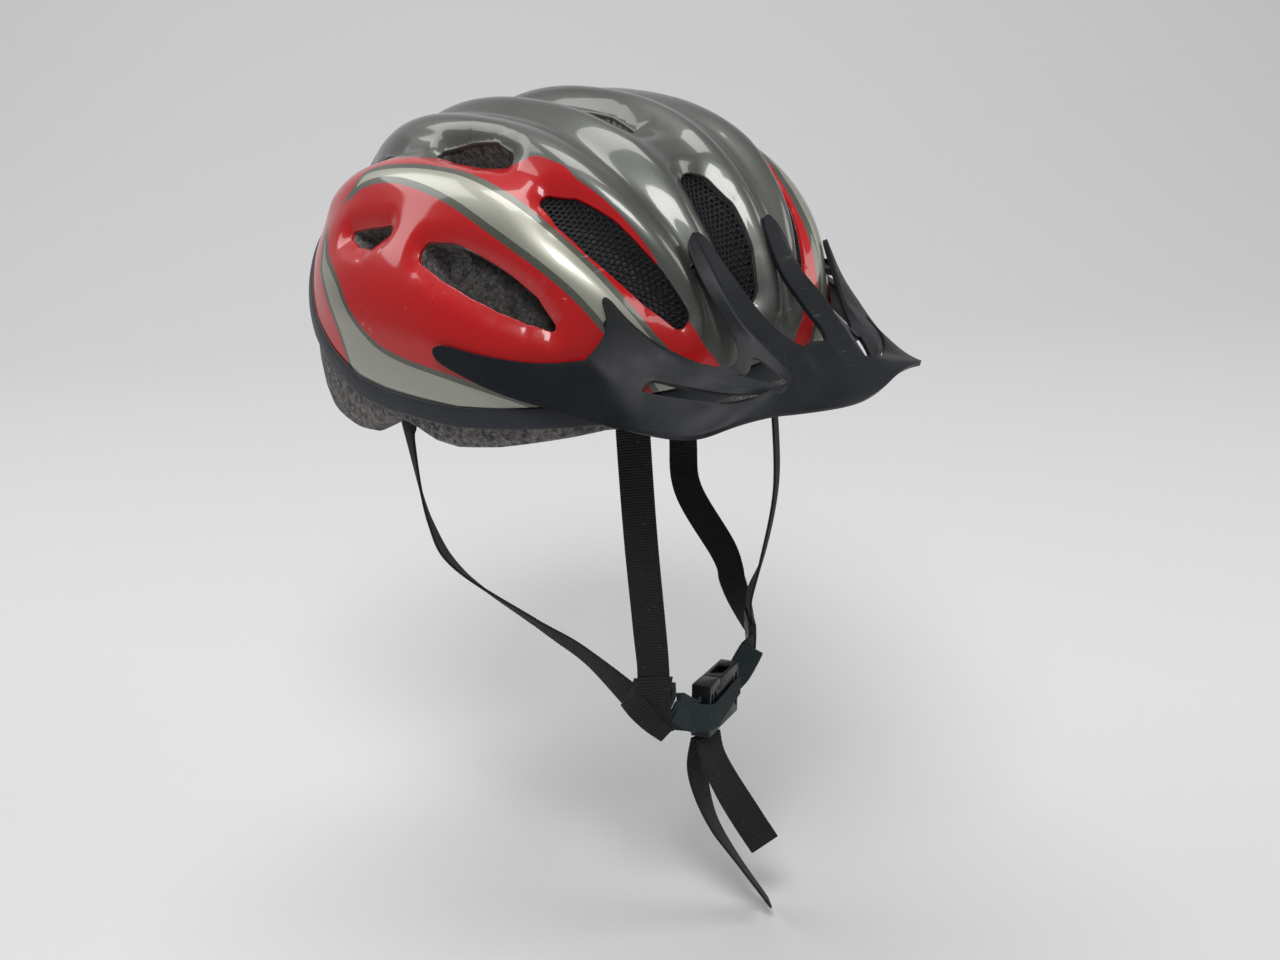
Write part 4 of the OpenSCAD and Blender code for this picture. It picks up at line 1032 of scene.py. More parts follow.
class HELMET_OT_band(bpy.types.Operator):
    """Build the rim band with its rounded edges."""

    bl_idname = "helmet.band"
    bl_label = "Rim Band"

    def execute(self, context):
        columns, rows = 161, 120
        p, q = chart_grid(np.linspace(-CHART_SIDE, CHART_SIDE, columns), rows)
        loop = border_of(columns, rows + 1)
        p, q = p.ravel()[loop], q.ravel()[loop]
        # The band's section, as (degrees below the rim, height over the dome)
        section = [(0.0, -1.15), (0.0, 0.45), (0.12, 0.72), (0.4, 0.8), (1.5, 0.84), (2.6, 0.84), (4.1, 0.8),
                   (4.45, 0.7), (BAND_HEIGHT, 0.4), (BAND_HEIGHT, -1.15)]
        n = len(loop)
        last = (len(section) - 1) * n
        faces = ring_strips(len(section), 0, n) + joining_faces(range(last, last + n), range(n))
        points = np.concatenate([below_rim(p, q, drop, offset) for drop, offset in section])
        band = new_object("rim_band_tape", points, faces, True)
        finished(band, "helmet", "band", "Band Plastic", "rim_band")
        return {"FINISHED"}


class HELMET_OT_foam(bpy.types.Operator):
    """Build the bead foam liner with its vent tunnels and its drawn-in lower edge."""

    bl_idname = "helmet.foam"
    bl_label = "Foam Liner"

    def execute(self, context):
        p, q, d = snapped(*chart_grid(chart_columns(80, 16), 180), vent_distance)
        loop = border_of(*d.shape)
        upper = kept_faces(d)
        p, q = p.ravel(), q.ravel()
        count = len(p)
        edges, names = vent_edges(upper, loop)
        top = relief(p, q, settings().sizes.dip_depth / MM) - SHELL_WALL - FOAM_GAP
        points = [on_dome(p, q, top), on_dome(p, q, -FOAM_WALL)]
        faces = upper + turned_copy(upper, count)
        # Tunnel walls, in rows at these shares of the foam's depth
        depths = (0.25, 0.5, 0.75, 0.93)
        points += [on_dome(p[names], q[names], mix(top[names], -FOAM_WALL, share)) for share in depths]
        first, n = 2 * count, len(names)
        rows = [names] + [range(first + k * n, first + (k + 1) * n) for k in range(len(depths))]
        rows.append([k + count for k in names])
        faces += edge_strips(edges, names, rows)
        # Below the rim, as (degrees below it, offset from the dome): set back under the band, drawn in at the
        # lower edge, and up the inside
        edge_p, edge_q = p[loop], q[loop]
        drop = rim_reach(azimuth(edge_p, edge_q), FOAM_RIM) - np.hypot(edge_p, edge_q)
        skirt = [(BAND_HEIGHT, -1.2), (5.0, -3.6)]
        skirt += [(mix(5.0, drop, t), -3.6 - 1.2 * t - 2.2 * t ** 6) for t in (0.2, 0.4, 0.6, 0.8, 0.93)]
        skirt += [(drop, -8.4), (drop + 0.2, -11.0), (drop, -FOAM_WALL + 3.0), (drop - 0.6, -FOAM_WALL + 0.6)]
        skirt += [(mix(drop - 1.5, 0, t), -FOAM_WALL) for t in (0.0, 0.25, 0.5, 0.75)]
        points += [below_rim(edge_p, edge_q, lower, offset) for lower, offset in skirt]
        start, m = first + n * len(depths), len(loop)
        last = start + (len(skirt) - 1) * m
        faces += joining_faces(loop, range(start, start + m))
        faces += ring_strips(len(skirt), start, m)
        faces += joining_faces(range(last, last + m), loop + count)
        foam = new_object("foam_liner_beads", np.concatenate(points), faces, True)
        with editing(foam) as b:
            drop_loose(b)
        finished(foam, "helmet", "foam", "Bead Foam", "foam_liner")
        for side in (1, -1):
            recess_floor(side)
        return {"FINISHED"}


def recess_floor(side):
    """The foam under the front part of a side vent, which goes through at its rear end only; its darker foam
    is painted shade.
    """
    p, q = np.meshgrid(np.linspace(44, 61, 64), np.linspace(4, 54, 150), indexing="ij")
    p, q, d = snapped(p, q, lambda a, b: np.minimum(0.3 - chain_distance(a, b, SIDE_VENT),
                                                    chain_distance(a, b, SIDE_VENT[:2])))
    upper = kept_faces(d)
    p, q = p.ravel(), q.ravel()
    count = len(p)
    radius = float(dome_radius(chart_direction(*RECESS_MIDDLE))) - RECESS_DEPTH
    swell = 0.9 * np.cos(np.radians((q - RECESS_MIDDLE[1]) * 7)) * smooth(14, 24, q)
    outer = chart_direction(p, q) * (radius + swell)[:, None]
    edges = open_edges(upper)
    names = sorted({k for edge in edges for k in edge})
    faces = upper + turned_copy(upper, count) + edge_strips(edges, names, [names, [k + count for k in names]])
    points = np.concatenate([outer, on_dome(p, q, -FOAM_WALL)]) * [side, 1, 1]
    floor = new_object("foam_recess_" + ("left" if side > 0 else "right"), points, faces, side > 0)
    with editing(floor) as b:
        drop_loose(b)
    return finished(floor, "helmet", "foam", "Deep Foam")


# Nets, made by Geometry Nodes from a sheet that lies just under the skin
def end_painted(g, mesh, start, end):
    """Ends a tree: shades a mesh smooth, makes its copies real and paints it with the tree's material."""
    for kind in ("SetShadeSmooth", "RealizeInstances", "SetMaterial"):
        step = g.add("GeometryNode" + kind)
        g.join(mesh, step.inputs["Geometry"])
        mesh = step.outputs["Geometry"]
    g.join(start.outputs["Material"], step.inputs["Material"])
    g.join(mesh, end.inputs["Geometry"])


def net_tree():
    """Strands along the edges of a sheet's cells, with named sizes."""
    tree, g, start, end = new_group(
        "Net Strands",
        [("Geometry", "NodeSocketGeometry", None), ("Strand Radius", "NodeSocketFloat", 0.0005),
         ("Strand Sides", "NodeSocketInt", 6), ("Material", "NodeSocketMaterial", None)],
        [("Geometry", "NodeSocketGeometry")], "GeometryNodeTree")
    curve = g.add("GeometryNodeMeshToCurve")
    circle = g.add("GeometryNodeCurvePrimitiveCircle")
    tube = g.add("GeometryNodeCurveToMesh")
    tube.inputs["Fill Caps"].default_value = True
    g.join(start.outputs["Geometry"], curve.inputs["Mesh"])
    g.join(curve.outputs["Curve"], tube.inputs["Curve"])
    g.join(start.outputs["Strand Radius"], circle.inputs["Radius"])
    g.join(start.outputs["Strand Sides"], circle.inputs["Resolution"])
    g.join(circle.outputs["Curve"], tube.inputs["Profile Curve"])
    end_painted(g, tube.outputs["Mesh"], start, end)
    return tree


def line_object(name, points, links):
    """An object of linked points, given in millimetres, for a node tree to build on."""
    mesh = bpy.data.meshes.new(name)
    mesh.from_pydata((points * MM).tolist(), links, [])
    obj = bpy.data.objects.new(name, mesh)
    bpy.context.scene.collection.objects.link(obj)
    return obj


def with_nodes(obj, tree, name, **values):
    """The plain mesh that a node tree makes from an object, with its inputs set by identifier."""
    modifier = obj.modifiers.new(tree.name, "NODES")
    modifier.node_group = tree
    sockets = {item.name: item.identifier for item in tree.interface.items_tree
               if item.item_type == "SOCKET" and item.in_out == "INPUT"}
    for label, value in values.items():
        modifier[sockets[label.replace("_", " ")]] = value
    return baked(obj, name)


def shared_corner(corners, x, y, reach):
    """The key of a cell's corner; corners of neighbouring cells that nearly meet are one."""
    i, j = round(x / reach * 4), round(y / reach * 4)
    near = [(i, j)] + [(i + a, j + b) for a in (-1, 0, 1) for b in (-1, 0, 1)]
    key = next((k for k in near if k in corners), (i, j))
    corners.setdefault(key, (x, y))
    return key


def net_cells(vent, side, pitch):
    """Edges of a six-sided net over a vent, as chart places and links."""
    middle = vent[2]
    radius = float(dome_radius(chart_direction(middle[0], middle[1])))
    step = math.degrees(pitch / radius)
    reach = step / math.sqrt(3)
    # The net leans as the vent does, from its second stop to its fifth
    lean = (vent[1][0] - vent[4][0]) / (vent[4][1] - vent[1][1]) if len(vent) > 4 else 0.0
    turns = [math.radians(60 * k + 30) for k in range(6)]
    corners, links = {}, set()
    for row in range(-NET_ROWS, NET_ROWS + 1):
        for column in range(-NET_COLUMNS, NET_COLUMNS + 1):
            q = middle[1] + row * step * math.sin(math.radians(60))
            p = middle[0] - (q - middle[1]) * lean + (column + (0.5 if row % 2 else 0)) * step
            if chain_distance(np.array(p), np.array(q), vent) > 0.45 * step:
                continue
            keys = [shared_corner(corners, p + reach * math.cos(turn), q + reach * math.sin(turn), reach)
                    for turn in turns]
            links.update((min(a, b), max(a, b)) for a, b in zip(keys, keys[1:] + keys[:1]))
    place = {k: i for i, k in enumerate(corners)}
    charts = np.array(list(corners.values()))
    charts[:, 0] *= side
    return charts, sorted((place[a], place[b]) for a, b in links)


class HELMET_OT_nets(bpy.types.Operator):
    """Weave the three insect nets into the front vents."""

    bl_idname = "helmet.nets"
    bl_label = "Insect Nets"

    def execute(self, context):
        sizes = settings().sizes
        tree = net_tree()
        rows = [("insect_net_center", FRONT_CENTER_VENT, 1), ("insect_net_left", FRONT_SIDE_VENT, 1),
                ("insect_net_right", FRONT_SIDE_VENT, -1)]
        for name, vent, side in rows:
            charts, links = net_cells(vent, side, sizes.net_pitch / MM)
            place = charts * [side, 1]
            outside = chain_distance(place[:, 0], place[:, 1], vent)
            step = 0.05
            slope = np.stack([chain_distance(place[:, 0] + step, place[:, 1], vent) - outside,
                              chain_distance(place[:, 0], place[:, 1] + step, vent) - outside], -1)
            slope /= np.maximum(np.linalg.norm(slope, axis=1, keepdims=True), 1e-9)
            place = place - slope * np.maximum(outside + 0.15, 0)[:, None]
            height = relief(place[:, 0], place[:, 1]) - NET_DEPTH
            sheet = line_object(name, on_dome(place[:, 0] * side, place[:, 1], height), links)
            net = with_nodes(sheet, tree, name + "_strands", Strand_Radius=sizes.net_strand / 2,
                             Strand_Sides=5, Material=material_named("Net Plastic"))
            finished(net, "helmet", "net", "Net Plastic", name)
        return {"FINISHED"}


# The visor's lines as (side, forward, height over the dome), for the wearer's left
SKIRT_TOP = [(72, 23.3, 3.9), (70.2, 25.8, 3.9), (68.7, 30.8, 3.9), (65.8, 38.6, 3.8), (61.3, 46.6, 3.7),
             (56.1, 53.3, 4), (51.7, 57.3, 5), (46.9, 60.8, 8.5), (45.3, 64.4, 11.5), (43.5, 67.6, 14.5),
             (39.6, 72.1, 19), (35.5, 75.2, 25), (31.7, 77.4, 29.6), (26.8, 80.1, 33), (23.2, 81.3, 35.6),
             (18.4, 81.9, 39), (15.2, 82.1, 41), (13.3, 82, 41), (11.3, 81.9, 40.7), (9.7, 81.5, 40),
             (3.2, 79, 34), (0, 78.7, 29)]
SKIRT_FOOT = [(73.5, 24.5, 3.8), (73.9, 27.4, 3.8), (73, 32.9, 4), (71, 41.7, 4.4), (67.1, 50.9, 5.4),
              (62.1, 58.7, 7.2), (56.6, 65.4, 11), (51.2, 70.9, 18), (48.8, 72.9, 22), (46.4, 74.6, 26),
              (44.1, 76, 30), (41.6, 77.5, 34), (39.2, 78.8, 38), (35.1, 80.3, 44.7), (31.8, 81, 46.5),
              (28.1, 81.9, 46.6), (22.9, 83.2, 46.8), (20, 83.8, 47.6), (17.4, 84.4, 48.6), (15, 85, 49.7),
              (7.3, 86.2, 54.2), (0, 86.6, 57)]
HORN_INSIDE = [(35.1, 56, 5.4), (34.4, 61.1, 6.2), (31.6, 67.5, 8.6), (29.6, 70, 10.6), (27.8, 72.1, 13),
               (25.2, 74.8, 17), (21.9, 76.8, 21.5), (20.2, 78.4, 27), (17, 80.2, 33.5)]
HORN_CREASE = [(35.9, 55.2, 5.6), (35, 61.6, 6.8), (31.8, 68.1, 10), (29.9, 70.6, 12.2), (28.9, 71.9, 14.4),
               (27.2, 74.8, 19.4), (25.4, 77, 25), (23.4, 78.6, 31), (19.6, 80.3, 37)]
HORN_OUTSIDE = [(37.2, 54.8, 5.4), (38.4, 60.8, 6.8), (38.2, 66.4, 10.5), (37.6, 69, 13.2),
                (36.6, 71.4, 16.5), (33.2, 74.4, 21.5), (29.4, 76.8, 27.5), (25.6, 79, 32.5),
                (21, 80.9, 37.6)]
FINGER_OUTSIDE = [(13.2, 55.8, 3.9), (14.2, 58.2, 4.2), (14.6, 61.3, 4.6), (14.8, 64.7, 6.2), (14.8, 68.1, 9),
                  (15.2, 71, 13.2), (15.4, 74.4, 19.5), (14.6, 77, 26.5), (13, 79.6, 33.5)]
FINGER_RIDGE = [(11.4, 54.9, 4.3), (11.3, 58.4, 5.6), (11.5, 62, 7.2), (12, 65.6, 9.6), (12.6, 68.6, 13.4),
                (13.2, 71.6, 18.4), (12.6, 74.4, 23.4), (11.6, 76.9, 28.8), (10.8, 79.4, 35)]
FINGER_INSIDE = [(9.4, 55.3, 4.2), (8.5, 57.6, 4.4), (7.8, 60.9, 5), (7.2, 64.2, 6.8), (6.6, 67.6, 9.4),
                 (6.6, 71, 14.5), (6.3, 73.8, 19.5), (5.8, 76, 25), (5, 77.8, 30.5)]
BAR_TOP = [(19.4, 77.8, 24.4), (17.2, 77.2, 25)]
BAR_FOOT = [(18.9, 79.2, 28.8), (16.4, 78.8, 29.4)]
VISOR_LINES = [SKIRT_TOP, SKIRT_FOOT, HORN_INSIDE, HORN_CREASE, HORN_OUTSIDE, FINGER_OUTSIDE, FINGER_RIDGE,
               FINGER_INSIDE, BAR_TOP, BAR_FOOT]

# Numbers of those lines, and the points of the skirt's top on which horns and fingers end
TOP, FOOT, HORN_IN, HORN_MID, HORN_OUT, FINGER_OUT, FINGER_MID, FINGER_IN, BAR_HIGH, BAR_LOW = range(10)
HORN_ROOT = 17
FINGER_ROOT = 18


def visor_number(line, i):
    """The number of a point, from its line and its place on it; horns and fingers end on the skirt's top."""
    if HORN_IN <= line <= HORN_OUT and i >= len(HORN_INSIDE):
        return HORN_ROOT - (line - HORN_IN)
    if FINGER_OUT <= line <= FINGER_IN and i >= len(FINGER_INSIDE):
        return FINGER_ROOT + (line - FINGER_OUT)
    return sum(len(row) for row in VISOR_LINES[:line]) + i


def visor_panel(one, i, other, j):
    """A panel between two lines, from point i of one and point j of the other to their next points."""
    return (visor_number(one, i), visor_number(other, j),
            visor_number(other, j + 1), visor_number(one, i + 1))


def visor_quads():
    """The left half's panels and its soft creases."""
    n = visor_number
    quads = [visor_panel(TOP, i, FOOT, i) for i in range(len(SKIRT_TOP) - 1)]
    for line in (HORN_IN, HORN_MID):
        quads += [visor_panel(line, i, line + 1, i) for i in range(len(HORN_INSIDE))]
    for line in (FINGER_OUT, FINGER_MID):
        quads += [visor_panel(line + 1, i, line, i) for i in range(len(FINGER_INSIDE))]
    quads += [visor_panel(HORN_OUT, i + 1, TOP, i + 7) for i in range(3)]
    # The bar between finger and horn
    quads += [(n(FINGER_OUT, 6), n(BAR_HIGH, 1), n(BAR_LOW, 1), n(FINGER_OUT, 7)),
              (n(BAR_HIGH, 1), n(BAR_HIGH, 0), n(BAR_LOW, 0), n(BAR_LOW, 1)),
              (n(BAR_HIGH, 0), n(HORN_IN, 6), n(HORN_IN, 7), n(BAR_LOW, 0))]
    rows = [(HORN_MID, range(len(HORN_CREASE)), 0.85), (FINGER_MID, range(len(FINGER_RIDGE)), 0.75),
            (TOP, range(6, 21), 0.85)]
    creases = {frozenset((n(line, i), n(line, i + 1))): weight
               for line, places, weight in rows for i in places}
    return quads, creases


def visor_wall():
    """One curved wall with fingers, horns, arms and brim."""
    quads, creases = visor_quads()
    left = on_dome(*np.concatenate(VISOR_LINES).astype(float).T)
    count = len(left)
    twin = [i if abs(left[i][0]) < 0.01 else i + count for i in range(count)]
    faces = [f[::-1] for f in quads] + [tuple(twin[k] for k in f) for f in quads]
    creases.update({frozenset(twin[k] for k in edge): weight for edge, weight in creases.items()})
    visor = new_object("visor_wall", np.concatenate([left, left * [-1, 1, 1]]), faces)
    with editing(visor) as b:
        layer = b.edges.layers.float.new("crease_edge")
        for edge in b.edges:
            edge[layer] = creases.get(frozenset(v.index for v in edge.verts), 0.0)
        drop_loose(b)
    divide = visor.modifiers.new("Smooth", "SUBSURF")
    divide.levels = divide.render_levels = 3
    divide.boundary_smooth = "ALL"
    wall = visor.modifiers.new("Wall", "SOLIDIFY")
    wall.thickness = VISOR_THICKNESS * MM
    wall.offset = -1
    wall.use_quality_normals = True
    round_edges(visor, VISOR_EDGE, 2, 55)
    visor = baked(visor, "visor_wall")
    visor.data.shade_smooth()
    return visor


def visor_pegs():
    """Four pegs that run from inside the visor into the bushes."""
    points, faces = [], []
    sides, full = 24, PEG_DIAMETER / 2
    for side in (-1, 1):
        for p, q, height in PEGS:
            skin = float(relief(np.array(p), np.array(q)))
            base = on_dome(np.array(side * p), np.array(q), skin)
            # A peg starts as far forward as the slanting wall needs
            start = -1.2 * (height - VISOR_THICKNESS / 2 - skin)
            section = [(start, 0.0), (start, full), (PEG_END - 0.8, full), (PEG_END - 0.3, full - 0.3),
                       (PEG_END, full - 0.9), (PEG_END, 0.0)]
            faces += ring_strips(len(section), len(points), sides)
            for along, radius in section:
                for k in range(sides):
                    turn = 2 * math.pi * k / sides
                    points.append(base + [radius * math.cos(turn), along, radius * math.sin(turn)])
    pegs = new_object("visor_pegs", points, faces)
    face_outwards(pegs)
    return pegs


class HELMET_OT_visor(bpy.types.Operator):
    """Build the visor as one curved wall with fingers, horns, arms and brim, and its four pegs."""

    bl_idname = "helmet.visor"
    bl_label = "Visor"

    def execute(self, context):
        finished(visor_wall(), "visor", "visor", "Visor Plastic", "visor")
        finished(visor_pegs(), "visor", "visor", "Visor Plastic")
        return {"FINISHED"}


# Webbing
def inner_stop(p, q):
    """A stop on the foam's inner face, where the webbing lies over its anchor."""
    p, q = np.array(float(p)), np.array(float(q))
    return (on_dome(p, q, -FOAM_WALL - ANCHOR_THICKNESS - WEB_GAP - WEB_THICKNESS / 2),
            unit(np.cross(dome_normal(p, q), [0, 0, -1])))


DIVIDER_ALONG = np.array([math.cos(DIVIDER_TURN), math.sin(DIVIDER_TURN), 0])
RIGHT_ALONG = -mirrored(DIVIDER_ALONG)
DIVIDER_REACH = (WEB_WIDTH + 5) / 2 + WEB_GAP


# Stops of the straps, as (point, direction across)
def front_stops(divider):
    """The front strap, from its anchor down to a divider."""
    return [inner_stop(*FRONT_ANCHOR), inner_stop(FRONT_ANCHOR[0] + 3.5, FRONT_ANCHOR[1] + 7.2),
            ((42.4, -86.6, -16), (0.8, 0.6, 0)), ((42, -87.8, -60), (0.8, 0.6, 0)),
            (mix(np.array([41, -87.8, -100]), divider + [0, 0, 43], 0.5), (0.8, 0.6, 0)),
            (divider + [0, 0, 10 + WEB_GAP + 10], DIVIDER_ALONG),
            (divider + [0, 0, 10 + WEB_GAP], DIVIDER_ALONG)]


def rear_stops(divider):
    """The rear strap, from its anchor forward to a divider."""
    return [inner_stop(*REAR_ANCHOR), inner_stop(REAR_ANCHOR[0] + 9.6, REAR_ANCHOR[1] - 2.8),
            ((83.4, 25.5, -32), (-0.3, 0.95, 0)), ((80.5, 20, -72), (-0.6, 0.72, -0.35)),
            ((73, 9, -97), (-0.75, 0.35, -0.6)), ((59.5, -32, -116.5), (-0.6, 0.1, -0.8)),
            (mix(np.array([52, -56, -125]), divider + [12, 34, 15], 0.5), (-0.4, -0.1, -0.9)),
            (divider + DIVIDER_ALONG * DIVIDER_REACH + [0, 0, 2], (0, 0, -1))]


FLAT_TAIL = [((0, 0, 0), (1, 0, 0)), ((0, -3, -11), (1, 0, 0.05)), ((3, -9, -25), (0.9, -0.1, 0.3)),
             ((8, -16.5, -41), (0.75, -0.3, 0.6)), ((13, -23, -55), (0.7, -0.3, 0.65))]
TWISTED_TAIL = [((0, 0, 0), (1, 0, 0)), ((-1, 3, -15), (1, 0.1, 0)), ((0, 2, -31), (0.9, 0.35, 0)),
                ((2, -4, -48), (0.78, 0.6, -0.1)), ((6, -15, -64), (0.66, 0.7, -0.25)),
                ((14, -28, -86), (0.61, 0.72, -0.33))]


def stops_right(stops):
    """The same stops on the right side."""
    return [(mirrored(place), mirrored(across)) for place, across in stops]


def buckle_direction(v):
    """A direction of the buckle's own frame, with its pitch and yaw."""
    x = v[0] * math.cos(BUCKLE_PITCH) + v[2] * math.sin(BUCKLE_PITCH)
    z = v[2] * math.cos(BUCKLE_PITCH) - v[0] * math.sin(BUCKLE_PITCH)
    return np.array([x * math.cos(BUCKLE_YAW) - v[1] * math.sin(BUCKLE_YAW),
                     x * math.sin(BUCKLE_YAW) + v[1] * math.cos(BUCKLE_YAW), z])


def buckle_point(v):
    return BUCKLE_CENTER + buckle_direction(v)


# A strap's section, as shares of half its width and half its thickness
WEB_FACE = [(-1, 0), (-0.985, 0.62), (-0.93, 0.93), (-0.8, 1), (-0.4, 1), (0, 1), (0.4, 1), (0.8, 1),
            (0.93, 0.93), (0.985, 0.62)]
WEB_SECTION = WEB_FACE + [(-a, -b) for a, b in WEB_FACE]


def webbing(name, stops, start_way=None, end_way=None, fold=None):
    """Ribbed webbing along stops of (point, direction across), with rounded and slightly notched edges.

    fold gives the shares of the full width at which it starts and ends, where it is folded over."""
    pitch = settings().sizes.rib_pitch / MM
    coarse = np.array([np.concatenate([np.asarray(s[0], float), np.asarray(s[1], float)]) for s in stops])
    fine = smoothed_line(coarse, 60)
    places, across = fine[:, :3], fine[:, 3:]
    run = np.concatenate([[0], np.cumsum(np.linalg.norm(np.diff(places, axis=0), axis=1))])
    ribs = max(4, round(run[-1] / pitch))
    at = np.linspace(0, run[-1], ribs * 4 + 1)
    places = np.stack([np.interp(at, run, places[:, k]) for k in range(3)], -1)
    across = np.stack([np.interp(at, run, across[:, k]) for k in range(3)], -1)
    way = unit(np.gradient(places, axis=0))
    if start_way is not None:
        way[0] = start_way
    if end_way is not None:
        way[-1] = end_way
    across = unit(across - way * np.sum(across * way, -1, keepdims=True))
    out = np.cross(way, across)
    # Each rib swells and sinks over four steps, and the cut ends stay flat
    rise = np.array([0.0, 0.7, 1.0, 0.7])[np.arange(len(at)) % 4]
    rise[[0, -1]] = 0
    share = np.interp(at, [0, run[-1]], fold or (1, 1))
    half_w = WEB_WIDTH / 2 * share - WEB_SLACK - EDGE_NOTCH * (1 - rise)
    half_t = WEB_THICKNESS / 2 - WEB_SLACK - RIB_DEPTH * (1 - rise)
    n = len(WEB_SECTION)
    points = [places + across * (a * half_w)[:, None] + out * (b * half_t)[:, None] for a, b in WEB_SECTION]
    faces = ring_strips(len(at), 0, n)
    last = (len(at) - 1) * n
    faces += [tuple(range(n)), tuple(last + k for k in range(n - 1, -1, -1))]
    strap = new_object(name, np.stack(points, 1).reshape(-1, 3), faces)
    widths = np.array([a for a, _ in WEB_SECTION]) * WEB_WIDTH / 2
    add_uv(strap, np.stack([np.repeat(at, n), np.tile(widths, len(at))], -1))
    with editing(strap) as b:
        bmesh.ops.recalc_face_normals(b, faces=b.faces)
    return strap


def blended(strap, start, end, *nodes):
    """Gives chin webbing its material, bakes its place into its mesh and hides the nodes that it stands for.
    """
    strap.data.materials.append(material_named("Chin Webbing"))
    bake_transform(strap)
    if nodes:
        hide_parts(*nodes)


def side_straps():
    """Front and rear straps of both sides, each in one piece down to its divider."""
    down = np.array([0.0, 0.0, -1.0])
    mirror = mirrored(RIGHT_DIVIDER)
    rows = [("front_strap_left", front_stops(LEFT_DIVIDER), down),
            ("front_strap_right", stops_right(front_stops(mirror)), down),
            ("rear_strap_left", rear_stops(LEFT_DIVIDER), -DIVIDER_ALONG),
            ("rear_strap_right", stops_right(rear_stops(mirror)), RIGHT_ALONG)]
    for name, stops, end in rows:
        finished(webbing(name + "_webbing", stops, end_way=end), "helmet", "webbing", "Strap Webbing", name)


def chin_straps():
    """The short chin straps from the dividers to the socket and the plug."""
    way, up = buckle_direction((1, 0, 0)), buckle_direction((0, 0, 1))
    start = buckle_point((SOCKET_END + WEB_GAP, 0, 0))
    finish = LEFT_DIVIDER - DIVIDER_ALONG * DIVIDER_REACH + [0, 0, -2]
    left = webbing("chin_strap_left_webbing", [(start, up), (start + way * 8, up), (finish, (0, 0, 1))],
                   way, DIVIDER_ALONG)
    finished(left, "helmet", "chin_webbing", "Chin Webbing", "chin_strap_left")
    start = RIGHT_DIVIDER + RIGHT_ALONG * DIVIDER_REACH + [0, 0, -2]
    finish = buckle_point((PLUG_ROOT - PLUG_LENGTH - WEB_GAP, 0, 0))
    chin = webbing("chin_strap_right_webbing", [(start, (0, 0, 1)), (finish - way * 7, up), (finish, up)],
                   RIGHT_ALONG, way)
    blended(chin, start, finish, "chin_strap_right")


def strap_folds():
    """Webbing folded over the right divider, and doubled in front of the buckle."""
    hub, along, high = RIGHT_DIVIDER, RIGHT_ALONG, np.array([0.0, 0.0, 1.0])
    face = np.cross(along, high)
    point = hub + along * 6 - high * 13
    front = [(hub + high * 13 + face * 0.7, along), (hub + along * 0.6 + high * 8 + face * 3, along),
             (hub + along * 2.6 - high * 3 + face * 3.4, along), (point + face * 3.4, along)]
    rear = [(hub - along * 12 + high * 3 + face * 0.4, along * 0.5 + high),
            (hub - along * 7 - high * 1 + face * 4.6, along * 0.8 + high),
            (hub - along * 1 - high * 8 + face * 5, along + high * 0.9),
            (point - high * 1 + face * 5, along + high * 0.9)]
    folds = [("front_strap_fold", (1.22, 0.5), front), ("rear_strap_fold", (0.9, 0.55), rear)]
    for name, shares, stops in folds:
        finished(webbing(name, stops, fold=shares), "helmet", "webbing", "Strap Webbing")
    up = buckle_direction((0, 0, 1))
    depth = -(BUCKLE_THICKNESS / 2 + WEB_THICKNESS / 2 + WEB_GAP)
    stops = [(hub + along * 7 - high * 5 + face * 2, high + along * 0.3),
             (buckle_point((-27, depth + 1, -2.5)), up), (buckle_point((-14, depth - 0.6, -1.5)), up),
             (buckle_point((0, depth - 0.3, 0)), up), (buckle_point((12, depth, 1)), up)]
    blended(webbing("chin_strap_doubled", stops, fold=(1, 0.62)), stops[0][0], stops[1][0])


def hanging_tails():
    """The flat and the twisted tail under the ladder lock."""
    drop = WEB_WIDTH / 2 * math.sin(BUCKLE_PITCH) + WEB_GAP
    tails = [("flat_tail", -WEB_THICKNESS, FLAT_TAIL), ("twisted_tail", WEB_THICKNESS, TWISTED_TAIL)]
    for name, shift, stops in tails:
        root = buckle_point((PLUG_ROOT - PLUG_LENGTH / 2, shift, -12.5)) - [0, 0, drop]
        tail = webbing(name + "_webbing", [(root + place, across) for place, across in stops])
        finished(tail, "plug", "webbing", "Strap Webbing", name)


class HELMET_OT_straps(bpy.types.Operator):
    """Weave the front, rear and chin straps and the two hanging tails."""

    bl_idname = "helmet.straps"
    bl_label = "Straps"

    def execute(self, context):
        side_straps()
        chin_straps()
        strap_folds()
        hanging_tails()
        return {"FINISHED"}


